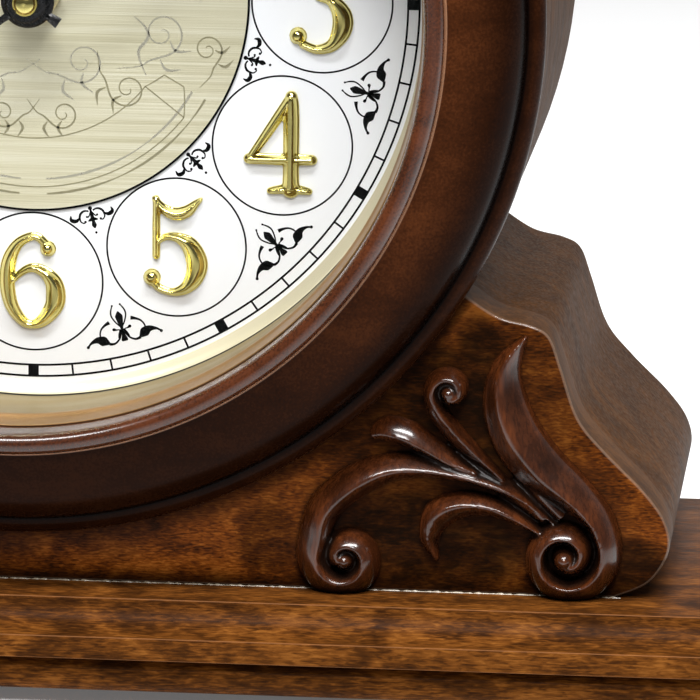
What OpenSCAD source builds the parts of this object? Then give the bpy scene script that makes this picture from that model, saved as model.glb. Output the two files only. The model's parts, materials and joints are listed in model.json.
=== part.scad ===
// Mantel clock with a drum case on a scrolled shoulder body.
// Origin: centre of the footprint on the shelf. +Z up, -Y is the dial side.

/* [Case] */
// Outer radius of the drum part of the case
case_r = 136.2; // [136.2:0.1:137]
// Depth of the case from the front panel's face to the rear edge
case_depth = 130; // [128:1:135]
// Wall thickness of the bent side shells
wall = 9; // [8:0.5:10]
// Thickness of the front panel board
panel_t = 18; // [16:1:20]
// Height of the dial centre above the top of the base
dial_over_base = 150.5; // [150.5:0.1:152]

/* [Base] */
// Overall width of the base
base_w = 388; // [380:1:400]
// Overall depth of the base
base_d = 158; // [156:1:160]
// Width of the moulding around the flat top
mould_w = 10; // [9:0.5:11]
// Thickness of the moulded upper board
board_t = 14; // [13:0.5:16]
// Thickness of the plinth board under it
plinth_t = 10; // [9:0.5:12]
// Height of the rubber feet
foot_h = 4; // [3:0.5:5]

/* [Bezel and dial] */
// Radius of the bezel's outer bead where it meets the panel
bezel_r = 135.4; // [134:0.1:135.5]
// Projection of the bezel in front of the panel
bezel_h = 25.4; // [24:0.1:26]
// Inside radius of the wooden bezel
bezel_bore = 106.8; // [106.4:0.1:107]
// Depth of the dial face behind the panel's face
dial_recess = 26; // [25:0.5:26]
// Radius of the dial plate
dial_plate_r = 113; // [112:0.5:114]
// Radius of the circle on which the numerals stand
numeral_ring_r = 75.6; // [74:0.1:77]
// Height of a numeral
numeral_h = 26; // [24:0.5:28]
// Height of the numerals above the dial
numeral_t = 2.6; // [2:0.1:3]
// Radius of the engraved centre disc
centre_disc_r = 56.6; // [54:0.1:58]

/* [Hands and movement] */
// Length of the minute hand from the shaft
minute_len = 92; // [80:1:94]
// Length of the hour hand from the shaft
hour_len = 62; // [50:1:66]
// Time shown at rest, minutes past ten
rest_minute = 9; // [5:1:12]
// Width of the movement housing
move_w = 88; // [86:1:92]
// Radial running clearance of shafts
run_gap = 0.05; // [0.03:0.01:0.08]

/* [Hidden] */
$fn = 96;
// Facets of the large round parts and of small screws and pins
fine = 256;
small = 32;
medium = 48;

// Heights and depths of the main faces
base_top = foot_h + plinth_t + board_t;
dial_z = base_top + dial_over_base;
back_y = base_d / 2;
face_y = back_y - case_depth;
panel_back_y = face_y + panel_t;
dial_y = face_y + dial_recess;
dial_plate_t = 1.2;
backboard_t = 6;
move_y = dial_y + dial_plate_t + backboard_t;

// Height of the notch where the shoulders meet the drum
notch_z = -71.3;
notch_x = sqrt(case_r * case_r - notch_z * notch_z);

// Right shoulder from the notch to the bottom, relative to the dial centre
shoulder = [[notch_x, notch_z], [124.9, -76.9], [133.6, -79.1], [138.4, -82], [141.5, -90],
    [146.1, -103.1], [153.2, -111.8], [163.4, -121.9], [169.2, -130], [170.2, -138],
    [165.2, -146.2], [156.2, -dial_over_base]];

// Catmull-Rom curve through a list of points
function cr(a, b, c, d, t) = 0.5 * (2 * b + (c - a) * t + (2 * a - 5 * b + 4 * c - d) * t * t
    + (3 * b - a - 3 * c + d) * t * t * t);
function smooth(p, n) = concat([for (i = [0:len(p) - 2]) for (k = [0:n - 1])
    cr(p[max(i - 1, 0)], p[i], p[i + 1], p[min(i + 2, len(p) - 1)], k / n)], [p[len(p) - 1]]);
function reversed(p) = [for (i = [len(p) - 1:-1:0]) p[i]];
function mirrored(p) = [for (q = p) [-q[0], q[1]]];
function arc(cx, cy, rx, ry, a0, a1, n) = [for (i = [0:n])
    [cx + rx * cos(a0 + (a1 - a0) * i / n), cy + ry * sin(a0 + (a1 - a0) * i / n)]];

// Outline of a tapered stroke along points [x, z, half width]
function unit(v) = v / max(norm(v), 0.0001);
function xz(q) = [q[0], q[1]];
function left_of(p, i) = let(d = unit(xz(p[min(i + 1, len(p) - 1)]) - xz(p[max(i - 1, 0)])))
    p[i][2] * [-d[1], d[0]];
function stroke(p) = concat([for (i = [0:len(p) - 1]) xz(p[i]) - left_of(p, i)],
    [for (i = [len(p) - 1:-1:0]) xz(p[i]) + left_of(p, i)]);
// Arc that winds in from radius r0 to r1 while its half width goes from w0 to w1
function spiral(cx, cz, r0, r1, a0, a1, w0, w1, n) = [for (i = [0:n]) let(t = i / n,
    a = a0 + (a1 - a0) * t, r = r0 + (r1 - r0) * t)
    [cx + r * cos(a), cz + r * sin(a), w0 + (w1 - w0) * t]];

// Slab between two depths, its outline drawn in X and Z
module slab(y0, y1) translate([0, y1, 0]) rotate([90, 0, 0]) linear_extrude(y1 - y0) children();
module dial_slab(y0, y1) translate([0, 0, dial_z]) slab(y0, y1) children();
// Solid of revolution about the dial's axis, height measured forwards from depth y
module turned(y) translate([0, y, dial_z]) rotate([90, 0, 0]) rotate_extrude() children();
// Pin along Y from y0 to y1, at x and z from the dial centre
module pin(x, z, r, y0, y1) translate([x, y1, dial_z + z]) rotate([90, 0, 0])
    cylinder(r = r, h = y1 - y0);
module round_rect(x0, x1, z0, z1, r) {
    translate([x0 + r, z0]) square([x1 - x0 - 2 * r, z1 - z0]);
    translate([x0, z0 + r]) square([x1 - x0, z1 - z0 - 2 * r]);
    for (x = [x0 + r, x1 - r], z = [z0 + r, z1 - r]) translate([x, z]) circle(r);
}

// ---- Case ----
shoulder_pts = smooth(shoulder, 8);
module shoulders() polygon(concat(reversed(shoulder_pts), mirrored(shoulder_pts)));
module case_outline() {
    circle(case_r, $fn = fine);
    shoulders();
}
module case_inside(gap) {
    circle(case_r - wall - gap, $fn = fine);
    offset(delta = -wall - gap) shoulders();
}
// Half width of the separate bottom board, and a length beyond the whole case
bottom_half = 148;
bottom_z = -dial_over_base;
beyond = 200;

module front_panel() color("saddlebrown") dial_slab(face_y, panel_back_y) difference() {
    case_outline();
    circle(rehaut_r + 0.3, $fn = fine);
}
module shell_ring() difference() {
    case_outline();
    case_inside(0);
}
module arch_shell() color("sienna") dial_slab(panel_back_y, back_y) intersection() {
    shell_ring();
    translate([-beyond, notch_z]) square([2 * beyond, 2 * beyond]);
}
module side_shell(s) color("sienna") dial_slab(panel_back_y, back_y) difference() {
    intersection() {
        shell_ring();
        translate([s > 0 ? 0 : -beyond, -beyond]) square([beyond, beyond + notch_z]);
    }
    translate([-bottom_half, -beyond]) square([2 * bottom_half, beyond + bottom_z + wall]);
}
module side_shell_left() side_shell(-1);
module side_shell_right() side_shell(1);
// Screws up through the base into the case's bottom board
base_screw_x = 120;
base_screw_y = 40;
base_screw_r = 2.1;
base_head_r = 4.4;
pilot_gap = 0.1;
through_gap = 0.5;
module bottom_board() color("peru") difference() {
    dial_slab(panel_back_y, back_y) translate([-bottom_half, bottom_z])
        square([2 * bottom_half, wall]);
    at_base_screws() cylinder(r = base_screw_r + pilot_gap, h = wall - 1);
}
module at_base_screws() for (x = [-1, 1], y = [-1, 1])
    translate([x * base_screw_x, y * base_screw_y + 10, base_top]) children();
module base_screw_bore() at_base_screws() translate([0, 0, -base_top - 1])
    cylinder(r = base_screw_r + through_gap, h = base_top + 2);

// Back panel in a rebate, with the door opening and the speaker's sound holes
rebate = 6;
back_t = 6;
bp_y1 = back_y - rebate;
bp_y0 = bp_y1 - back_t;
door_x = 75;
door_z0 = -90;
door_z1 = 80;
speaker_x = 102.6;
speaker_z = -107.6;
speaker_r = 26;
block = 28;
block_d = 22;
back_screw_r = 1.5;
back_head_r = 3.4;
back_head_t = 1.6;
block_at = [[-118, -24], [118, -24], [-86, 84], [86, 84], [-60, -128], [60, -128]];
module at_blocks() for (p = block_at) translate([p[0], 0, p[1] + dial_z]) children();
module glue_blocks() color("burlywood") difference() {
    intersection() {
        at_blocks() translate([-block / 2, bp_y0 - block_d, -block / 2])
            cube([block, block_d, block]);
        dial_slab(bp_y0 - block_d, bp_y0) case_inside(0.05);
    }
    at_blocks() translate([0, bp_y0, 0]) rotate([90, 0, 0])
        cylinder(r = back_screw_r + pilot_gap, h = 14, $fn = small);
}
module back_panel() color("saddlebrown") difference() {
    dial_slab(bp_y0, bp_y1) difference() {
        case_inside(0.1);
        translate([-door_x, door_z0]) square([2 * door_x, door_z1 - door_z0]);
        for (i = [0:3], k = [0:max(6 * i - 1, 0)]) translate([speaker_x, speaker_z])
            rotate(60 * k / max(i, 1)) translate([i * 6, 0]) circle(1.8, $fn = small);
        for (a = speaker_screw_a) translate([speaker_x, speaker_z]) rotate(a)
            translate([speaker_screw_r, 0]) circle(1.2, $fn = small);
    }
    at_blocks() translate([0, bp_y1 + 1, 0]) rotate([90, 0, 0])
        cylinder(r = back_screw_r + 0.4, h = 9, $fn = small);
    hinge_screw_at(-1, bp_y1, leaf_screw_l + 0.1, leaf_screw_r + pilot_gap);
}
module back_screws() color("silver") at_blocks() translate([0, bp_y1, 0]) {
    rotate([90, 0, 0]) cylinder(r = back_screw_r, h = 18, $fn = small);
    difference() {
        translate([0, back_head_t, 0]) rotate([90, 0, 0])
            cylinder(r = back_head_r, h = back_head_t, $fn = medium);
        translate([-3, back_head_t - 0.7, -0.4]) cube([6, 1, 0.8]);
    }
}

// ---- Rear door and its hinges ----
door_gap = 1;
hinge_x = -door_x - 0.2;
barrel_r = 2.2;
pin_r = 1;
pin_head_r = 1.7;
hinge_y = bp_y1 + barrel_r + 0.4;
leaf_t = 1.1;
leaf_w = 13;
leaf_h = 28;
hinge_z = [-62, 54];
knuckle = leaf_h / 3;
knuckle_gap = 0.15;
leaf_screw_x = 8.4;
leaf_screw_z = 9;
leaf_screw_r = 1;
leaf_screw_l = 4.4;
leaf_head_r = 2.1;
leaf_head_t = 0.9;
module back_door() color("saddlebrown") difference() {
    dial_slab(bp_y0, bp_y1) translate([-door_x + door_gap, door_z0 + door_gap])
        square([2 * (door_x - door_gap), door_z1 - door_z0 - 2 * door_gap]);
    hinge_screw_at(1, bp_y1, leaf_screw_l + 0.1, leaf_screw_r + pilot_gap);
    pin(knob_x, 0, knob_shank_r + pilot_gap, bp_y0 - 1, bp_y1 + 1);
    strike_holes(bp_y0 + 4);
}
// Screw shafts of the leaves: s is -1 for the frame and 1 for the door
module hinge_screw_at(s, y, depth, r) for (z = hinge_z, k = [-1, 1])
    pin(hinge_x + s * leaf_screw_x, z + k * leaf_screw_z, r, y - depth, y);
module leaf(s) for (z = hinge_z) difference() {
    union() {
        translate([s > 0 ? hinge_x : hinge_x - leaf_w, bp_y1, dial_z + z - leaf_h / 2])
            cube([leaf_w, leaf_t, leaf_h]);
        knuckles(s, z);
    }
    pin_bore(z);
    other_knuckles(s, z);
    hinge_holes(s, z);
}
module knuckles(s, z) for (k = s > 0 ? [0] : [-1, 1])
    translate([hinge_x, hinge_y, dial_z + z + (k - 0.5) * knuckle + knuckle_gap])
        cylinder(r = barrel_r, h = knuckle - 2 * knuckle_gap, $fn = medium);
module other_knuckles(s, z) for (k = s > 0 ? [-1, 1] : [0])
    translate([hinge_x, hinge_y, dial_z + z + (k - 0.5) * knuckle - knuckle_gap])
        cylinder(r = barrel_r + 0.35, h = knuckle + 2 * knuckle_gap, $fn = medium);
module pin_bore(z) translate([hinge_x, hinge_y, dial_z + z - leaf_h / 2 - 1])
    cylinder(r = pin_r + run_gap, h = leaf_h + 2, $fn = medium);
module hinge_holes(s, z) for (k = [-1, 1])
    pin(hinge_x + s * leaf_screw_x, z + k * leaf_screw_z, leaf_screw_r + 0.3, bp_y1 - 1,
        bp_y1 + leaf_t + 1);
module hinge_frame_leaves() color("goldenrod") leaf(-1);
module hinge_door_leaves() color("goldenrod") leaf(1);
module hinge_pins() color("gold") for (z = hinge_z)
    translate([hinge_x, hinge_y, dial_z + z - leaf_h / 2 - 0.6]) {
        cylinder(r = pin_r, h = leaf_h + 1.2, $fn = medium);
        cylinder(r = pin_head_r, h = 0.5, $fn = medium);
        translate([0, 0, leaf_h + 0.9]) cylinder(r = pin_head_r, h = 0.5, $fn = medium);
    }
module hinge_screws(s) for (z = hinge_z, k = [-1, 1]) {
    x = hinge_x + s * leaf_screw_x;
    zs = z + k * leaf_screw_z;
    pin(x, zs, leaf_screw_r, bp_y1 - leaf_screw_l, bp_y1 + leaf_t);
    difference() {
        pin(x, zs, leaf_head_r, bp_y1 + leaf_t, bp_y1 + leaf_t + leaf_head_t);
        translate([x - 3, bp_y1 + leaf_t + leaf_head_t - 0.4, dial_z + zs - 0.25])
            cube([6, 1, 0.5]);
    }
}
module hinge_frame_screws() color("gold") hinge_screws(-1);
module hinge_door_screws() color("gold") hinge_screws(1);
knob_x = 62;
knob_shank_r = 1.4;
module door_knob() color("gold") translate([knob_x, bp_y1, dial_z]) rotate([-90, 0, 0])
    rotate_extrude() polygon(concat([[0, 1 - back_t], [knob_shank_r, 1 - back_t], [knob_shank_r, 0],
        [4.4, 0], [4.4, 0.8], [2.4, 1.4], [2.2, 2.4]], arc(0, 3.9, 4.6, 1.7, -50, 90, 8)));
strike_x = 66;
strike_t = 0.8;
strike_pin_r = 0.9;
catch_h = 14;
module strike_holes(y1) for (z = [-8, 8]) pin(strike_x, z, strike_pin_r, bp_y0 - 2, y1);
module magnet_catch() color("dimgray") {
    dial_slab(bp_y0 - 9, bp_y0 - strike_t - 0.3) round_rect(64, 92, -catch_h, catch_h, 2);
    dial_slab(bp_y0 - strike_t - 0.3, bp_y0) round_rect(door_x + 1, 92, -catch_h, catch_h, 2);
}
module strike_plate() color("silver") difference() {
    dial_slab(bp_y0 - strike_t, bp_y0) round_rect(strike_x - 6, strike_x + 6, -13, 13, 2);
    strike_holes(bp_y0 + 1);
}

// ---- Base ----
cove_r = 8;
module base_profile(w) difference() {
    translate([-w / 2, 0]) square([w, board_t]);
    for (s = [-1, 1]) {
        translate([s * (w / 2 - mould_w + cove_r), board_t]) circle(cove_r);
        translate([s * (w / 2 + 20 - mould_w + cove_r), board_t]) square([40, 2 * cove_r], true);
    }
}
module plinth_profile(w) {
    translate([-w / 2 + plinth_t / 2, 0]) square([w - plinth_t, plinth_t]);
    for (s = [-1, 1]) translate([s * (w - plinth_t) / 2, plinth_t / 2]) circle(plinth_t / 2);
}
module along_y(d) translate([0, d / 2, 0]) rotate([90, 0, 0]) linear_extrude(d) children();
module along_x(d) rotate([0, 0, 90]) along_y(d) children();
module base_board() color("sienna") difference() {
    translate([0, 0, foot_h + plinth_t]) intersection() {
        along_y(base_d) base_profile(base_w);
        along_x(base_w) base_profile(base_d);
    }
    base_screw_bore();
}
plinth_in = 6;
foot_x = 166;
foot_y = 54;
foot_screw_r = 1.5;
foot_head_r = 3.6;
module at_feet() for (x = [-1, 1], y = [-1, 1]) translate([x * foot_x, y * foot_y, 0]) children();
module base_plinth() color("sienna") difference() {
    translate([0, 0, foot_h]) intersection() {
        along_y(base_d - plinth_in) plinth_profile(base_w - plinth_in);
        along_x(base_w - plinth_in) plinth_profile(base_d - plinth_in);
    }
    base_screw_bore();
    at_base_screws() translate([0, 0, foot_h - base_top - 1])
        cylinder(r = base_head_r + 0.6, h = 5);
    at_feet() cylinder(r = foot_screw_r + pilot_gap, h = foot_h + 8);
}
module rubber_feet() color("dimgray") at_feet() difference() {
    rotate_extrude() polygon([[0, 0], [8.2, 0], [9, 0.8], [9.6, foot_h], [0, foot_h]]);
    translate([0, 0, -1]) cylinder(r = foot_screw_r + 0.3, h = 10);
    translate([0, 0, -1]) cylinder(r = foot_head_r + 0.6, h = 2.8);
}
module foot_screws() color("silver") at_feet() translate([0, 0, 0.7]) {
    cylinder(r = foot_head_r, h = 1.1);
    cylinder(r = foot_screw_r, h = foot_h + 6);
}
module base_screws() color("silver") at_base_screws() {
    translate([0, 0, foot_h + 1 - base_top]) cylinder(r = base_head_r, h = 3);
    translate([0, 0, foot_h + 1 - base_top])
        cylinder(r = base_screw_r, h = base_top - foot_h + 6);
}

// ---- Carved onlays, right one drawn, relative to the dial centre ----
lower_t = 5;
upper_t = 8.5;
crest = 0.5; // share of a limb's width that stands at full height
main_stem = smooth(concat([[140.4, -130.6, 0.6], [131, -123.2, 2.4], [120, -119, 2.5],
    [108.5, -117, 3.2], [98, -117.4, 4], [88.4, -121.6, 4.6], [80.6, -128.6, 4.6]],
    spiral(86.2, -141.4, 9.4, 5.1, 152, 412, 4.4, 3, 6)), 3);
big_leaf = smooth(concat([[132.6, -81.6, 0.5], [127.6, -90, 4], [127.2, -99, 6], [130.6, -108.4, 7],
    [137, -116.4, 6.8], [145.2, -122.6, 5.4], [151.6, -128.8, 4.2]],
    spiral(143.8, -139.2, 11.4, 6.1, 16, -274, 3.6, 2.7, 7)), 3);
top_curl = smooth(concat([[127, -119.6, 1], [116.2, -110, 2.4], [110.8, -103.2, 2.4]],
    spiral(112.9, -96.6, 4.4, 2.6, 200, 20, 2.2, 1.9, 4)), 3);
short_leaf = smooth([[93.4, -108.4, 1], [96.8, -107, 2.6], [102, -108, 3], [108, -111.2, 2.5],
    [114, -114.8, 1.8], [120, -117.6, 1]], 4);
hook_leaf = smooth([[109.8, -141.2, 0.5], [108.2, -135.6, 2.2], [110.4, -129.4, 3.3],
    [116, -126.4, 2.9], [123, -126.3, 2.3], [130, -128.8, 1.8], [136.6, -132.8, 1]], 4);
// Volutes: centre x and z, radius of the filled disc, radius of the raised eye
volutes = [[86.2, -141.8, 6.4, 3.1], [143.4, -139.8, 8, 3.6], [112.9, -96.8, 3.6, 2.7]];
module above_base() intersection() {
    children();
    translate([60, 0.2 - dial_over_base]) square([120, 90]);
}
function narrowed(p) = [for (q = p) [q[0], q[1], crest * q[2]]];
module limb(p, t) {
    linear_extrude(lower_t) above_base() polygon(stroke(p));
    linear_extrude(t) above_base() polygon(stroke(narrowed(p)));
}
module onlay() {
    limb(main_stem, upper_t);
    limb(big_leaf, upper_t);
    limb(top_curl, upper_t - 1);
    limb(short_leaf, upper_t - 2);
    limb(hook_leaf, upper_t - 1);
    for (v = volutes) translate([v[0], v[1], 0]) {
        cylinder(r = v[2], h = lower_t);
        cylinder(r = v[3], h = upper_t - 0.5, $fn = medium);
    }
}
module onlay_right() color("maroon") translate([0, face_y, dial_z]) rotate([90, 0, 0]) onlay();
module onlay_left() mirror([1, 0, 0]) onlay_right();

// ---- Bezel, glass and dial ----
glass_h = 5.4;
rehaut_r = 107.4;
window_r = 106.1;
lip_r = 104.8;
glass_t = 2;
// Half profile of the wooden bezel: radius and height in front of the panel
bezel_slope = smooth([[132, 9.8], [130.2, 14], [126.4, 17.4], [121, 19.6], [116, 21], [112.2, 22]], 4);
bezel_roll = arc(109.4, 22.4, 2.7, 3, 10, 175, 8);
module bezel_ring() color("brown") turned(face_y) difference() {
    polygon(concat([[bezel_bore, 0], [bezel_r, 0]], arc(131.8, 4.6, 4.9, 5.2, -50, 88, 9),
        bezel_slope, bezel_roll, [[bezel_bore, 20]]));
    translate([bezel_bore - 2, -1]) square([2 + rehaut_r - bezel_bore + 0.3, glass_h + 1]);
}
rehaut_h = dial_recess + glass_h - glass_t;
module rehaut() color("palegoldenrod") turned(dial_y) polygon([[lip_r, 0.05], [rehaut_r, 0.05],
    [rehaut_r, rehaut_h], [window_r, rehaut_h], [window_r, 1.2], [lip_r, 0.8]]);
module glass() color("lightcyan", 0.35) dial_slab(face_y - glass_h, face_y - glass_h + glass_t)
    circle(bezel_bore - 0.1, $fn = fine);
module glass_ring() color("goldenrod") turned(face_y - glass_h) polygon([[lip_r + 0.1, 0.02],
    [bezel_bore - 0.02, 0.02], [bezel_bore - 0.02, 8.4], [window_r + 0.2, 8.7],
    [lip_r + 0.6, 2.2], [lip_r + 0.1, 1.4]]);
board_r = 122;
dial_screw_r = 117.5;
dial_pilot_r = 1.4;
dial_screw_a = [for (i = [0:5]) 30 + 60 * i];
module dial_screw_holes(r) for (a = dial_screw_a) rotate(a) translate([dial_screw_r, 0])
    circle(r, $fn = small);
module dial_spacer() color("burlywood") dial_slab(panel_back_y, dial_y) difference() {
    circle(board_r);
    circle(rehaut_r + 0.3);
    dial_screw_holes(dial_pilot_r);
}
module dial_plate() color("white") dial_slab(dial_y, dial_y + dial_plate_t) difference() {
    circle(dial_plate_r, $fn = fine);
    circle(bush_r + 0.1);
}
module dial_disc() color("palegoldenrod") dial_slab(dial_y - 0.4, dial_y) difference() {
    circle(centre_disc_r, $fn = fine);
    circle(bush_r + 0.1);
}
module dial_backboard() color("burlywood") difference() {
    dial_slab(dial_y, move_y) difference() {
        circle(board_r);
        circle(bush_r + 0.1);
        dial_screw_holes(dial_pilot_r);
    }
    dial_slab(dial_y - 1, dial_y + dial_plate_t) circle(dial_plate_r + 0.2, $fn = fine);
}
module dial_screws() color("silver") for (a = dial_screw_a)
    translate([dial_screw_r * cos(a), 0, dial_screw_r * sin(a)]) {
        pin(0, 0, dial_pilot_r - 0.1, dial_y - 6, move_y);
        difference() {
            pin(0, 0, 3.2, move_y, move_y + 1.8);
            translate([-3, move_y + 1, dial_z - 0.35]) cube([6, 1, 0.7]);
        }
    }

// ---- Numerals: strokes in a box 1 unit high, centred ----
module bar(p, w) polygon(stroke([for (q = p) [q[0], q[1], w]]));
module digit(d) {
    w = 0.062;
    if (d == 0) difference() {
        polygon(arc(0, 0, 0.29, 0.5, 0, 350, 35));
        polygon(arc(0, 0, 0.17, 0.4, 0, 350, 35));
    }
    if (d == 1) {
        bar([[0, -0.48], [0, 0.5]], 0.07);
        bar([[-0.17, -0.46], [0.17, -0.46]], 0.04);
        bar([[-0.16, 0.33], [0, 0.47]], 0.04);
    }
    if (d == 2) {
        bar(concat(arc(0, 0.24, 0.22, 0.2, 170, -20, 12), [[-0.25, -0.45]]), w);
        bar([[-0.28, -0.44], [0.28, -0.44]], w);
        translate([-0.2, 0.22]) circle(0.085, $fn = small);
    }
    if (d == 3) {
        bar(arc(-0.02, 0.24, 0.2, 0.2, 160, -80, 12), w);
        bar(arc(-0.02, -0.2, 0.25, 0.24, 80, -165, 14), w);
        for (z = [0.24, -0.24]) translate([-0.22, z]) circle(0.08, $fn = small);
    }
    if (d == 4) {
        bar([[0.1, 0.48], [-0.27, -0.2]], 0.05);
        bar([[-0.3, -0.2], [0.3, -0.2]], 0.05);
        bar([[0.11, 0.5], [0.11, -0.5]], 0.07);
        bar([[-0.03, -0.47], [0.25, -0.47]], 0.035);
    }
    if (d == 5) {
        bar([[-0.2, 0.4], [0.22, 0.45]], 0.055);
        bar([[-0.2, 0.45], [-0.22, 0.02]], 0.04);
        bar(arc(-0.01, -0.19, 0.25, 0.26, 140, -160, 16), w);
        translate([-0.22, -0.3]) circle(0.085, $fn = small);
    }
    if (d == 6 || d == 9) rotate(d == 9 ? 180 : 0) {
        difference() {
            polygon(arc(0, -0.2, 0.27, 0.29, 0, 350, 35));
            polygon(arc(0.01, -0.2, 0.15, 0.18, 0, 350, 35));
        }
        bar(arc(0.14, -0.06, 0.35, 0.5, 185, 75, 12), w);
        translate([0.2, 0.38]) circle(0.08, $fn = small);
    }
    if (d == 7) {
        bar([[-0.26, 0.42], [0.28, 0.42]], 0.07);
        bar([[0.26, 0.42], [0.05, 0.0], [-0.04, -0.5]], w);
    }
    if (d == 8) difference() {
        union() {
            polygon(arc(0, 0.24, 0.23, 0.26, 0, 350, 35));
            polygon(arc(0, -0.22, 0.28, 0.28, 0, 350, 35));
        }
        polygon(arc(0, 0.24, 0.11, 0.15, 0, 350, 35));
        polygon(arc(0, -0.22, 0.16, 0.17, 0, 350, 35));
    }
}
module numeral(n) if (n < 10) digit(n); else {
    translate([-0.24, 0]) digit(1);
    translate([n == 11 ? 0.22 : 0.2, 0]) digit(n - 10);
}
module numerals() color("gold") dial_slab(dial_y - numeral_t, dial_y) for (n = [1:12])
    translate([numeral_ring_r * sin(30 * n), numeral_ring_r * cos(30 * n)])
        scale(numeral_h) numeral(n);

// ---- Hands ----
minute_a = 6 * rest_minute;
hour_a = 300 + rest_minute / 2;
hand_t = 0.8;
hour_y = dial_y - 10;
minute_y = dial_y - 13.5;
bush_r = 4;
pipe_r = 3;
arbor_r = 1.7;
// Tapered tail, stem, leaf-shaped spade and pointed tip of a hand
spade_n = 12;
module spade_hand(len, w) polygon(stroke(concat([[0, -0.16 * len, 0.5 * w]],
    [for (i = [0:spade_n]) [0, len * (0.52 + 0.2 * i / spade_n),
        w * (0.4 + 1.6 * pow(sin(180 * i / spade_n), 1.4))]],
    [[0, len, 0.1]])));
module hour_hand() color("black") dial_slab(hour_y - hand_t, hour_y) rotate(-hour_a) difference() {
    union() {
        spade_hand(hour_len, 3.6);
        circle(7);
    }
    circle(pipe_r);
}
module minute_hand() color("black") dial_slab(minute_y - hand_t, minute_y) rotate(-minute_a)
    difference() {
        union() {
            spade_hand(minute_len, 3);
            circle(5.4);
        }
        circle(arbor_r);
    }
module hand_cap() color("gold") turned(minute_y - hand_t) difference() {
    polygon(concat([[0, 0], [3.4, 0]], arc(0, 0.6, 3.4, 2.6, 0, 90, 8)));
    square([arbor_r, 1.7]);
}
module bush_nut() color("gold") dial_slab(dial_y - 3, dial_y - 0.4) difference() {
    circle(7.5, $fn = 6);
    circle(bush_r + 0.05);
}

// ---- Movement ----
mz0 = -80;
mz1 = 32;
m_wall = 2;
mid_y = move_y + 16;
rear_y = move_y + 30;
pressure = 25;
tooth_gap = 0.045;
function inv_deg(a) = tan(a) * 180 / PI - a;
function flank(r, m, n) = let(rb = m * n / 2 * cos(pressure), q = max(r, rb))
    90 / n - tooth_gap / (m * n / 2) * 180 / PI + inv_deg(pressure) - inv_deg(acos(rb / q));
// Involute gear with stub teeth, one tooth centred at angle a
module gear(m, n, a) {
    rp = m * n / 2;
    rb = rp * cos(pressure);
    ra = rp + 0.8 * m;
    rf = rp - 1.05 * m;
    rs = rf < rb ? [rf, rb, (rb + 2 * ra) / 3, ra] : [rf, (2 * rf + ra) / 3, (rf + 2 * ra) / 3, ra];
    polygon([for (i = [0:n - 1]) for (k = [0:7]) let(r = rs[k < 4 ? k : 7 - k],
        t = a + 360 * i / n + (k < 4 ? -1 : 1) * flank(r, m, n)) [r * cos(t), r * sin(t)]]);
}
motion_m = 0.5;
hour_m = 0.48;
third_m = 0.36;
rotor_m = 0.34;
motion_a = -30;
motion_d = 24 * motion_m;
motion_x = motion_d * cos(motion_a);
motion_z = motion_d * sin(motion_a);
set_x = 2 * motion_x;
set_z = 2 * motion_z;
third_a = 120;
third_d = 31.5 * third_m;
third_x = third_d * cos(third_a);
third_z = third_d * sin(third_a);
// Front faces of the wheels' planes
hour_wheel_y = move_y + m_wall + 0.5;
motion_y = hour_wheel_y + 2.1;
centre_y = motion_y + 2.6;
third_y = centre_y + 2.2;
plate_y = third_y + 2;
plate_t = 1.6;
shaft_r = 0.9;
screw_at = [[-39, 27], [39, 27], [-39, -75], [39, -75]];
module move_box(y0, y1) dial_slab(y0, y1) round_rect(-move_w / 2, move_w / 2, mz0, mz1, 5);
module move_pocket(y0, y1) dial_slab(y0, y1) difference() {
    round_rect(-move_w / 2 + m_wall, move_w / 2 - m_wall, mz0 + m_wall, mz1 - m_wall, 3);
    for (p = screw_at) translate(p) circle(4.2, $fn = medium);
}
module movement_front() color("darkslategray") difference() {
    union() {
        difference() {
            move_box(move_y, mid_y);
            move_pocket(move_y + m_wall, mid_y + 1);
        }
        pin(0, 0, bush_r, dial_y - 5, move_y + 0.5);
        for (p = [[-20, 22], [26, 22], [-20, -17], [30, -17]])
            pin(p[0], p[1], 2, move_y + 1, plate_y);
    }
    pin(0, 0, pipe_r + run_gap, dial_y - 6, move_y + m_wall + 1);
    for (p = [[motion_x, motion_z], [third_x, third_z], [set_x, set_z]])
        pin(p[0], p[1], shaft_r + run_gap, move_y + 0.8, move_y + m_wall + 1);
    for (p = screw_at) pin(p[0], p[1], screw_r + pilot_gap, move_y + 3, mid_y + 1);
}
bay_x = 28;
bay_z0 = -76;
bay_z1 = -22;
bay_y = move_y + m_wall;
bay_wall = 1.5;
slot_z = 24;
slot_h = 4;
selector_x = -26;
volume_x = 14;
slot_w = 16.4;
set_shaft_r = 2;
screw_r = 1.2;
screw_head_r = 2.6;
rail_h = 1.3;
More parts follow.
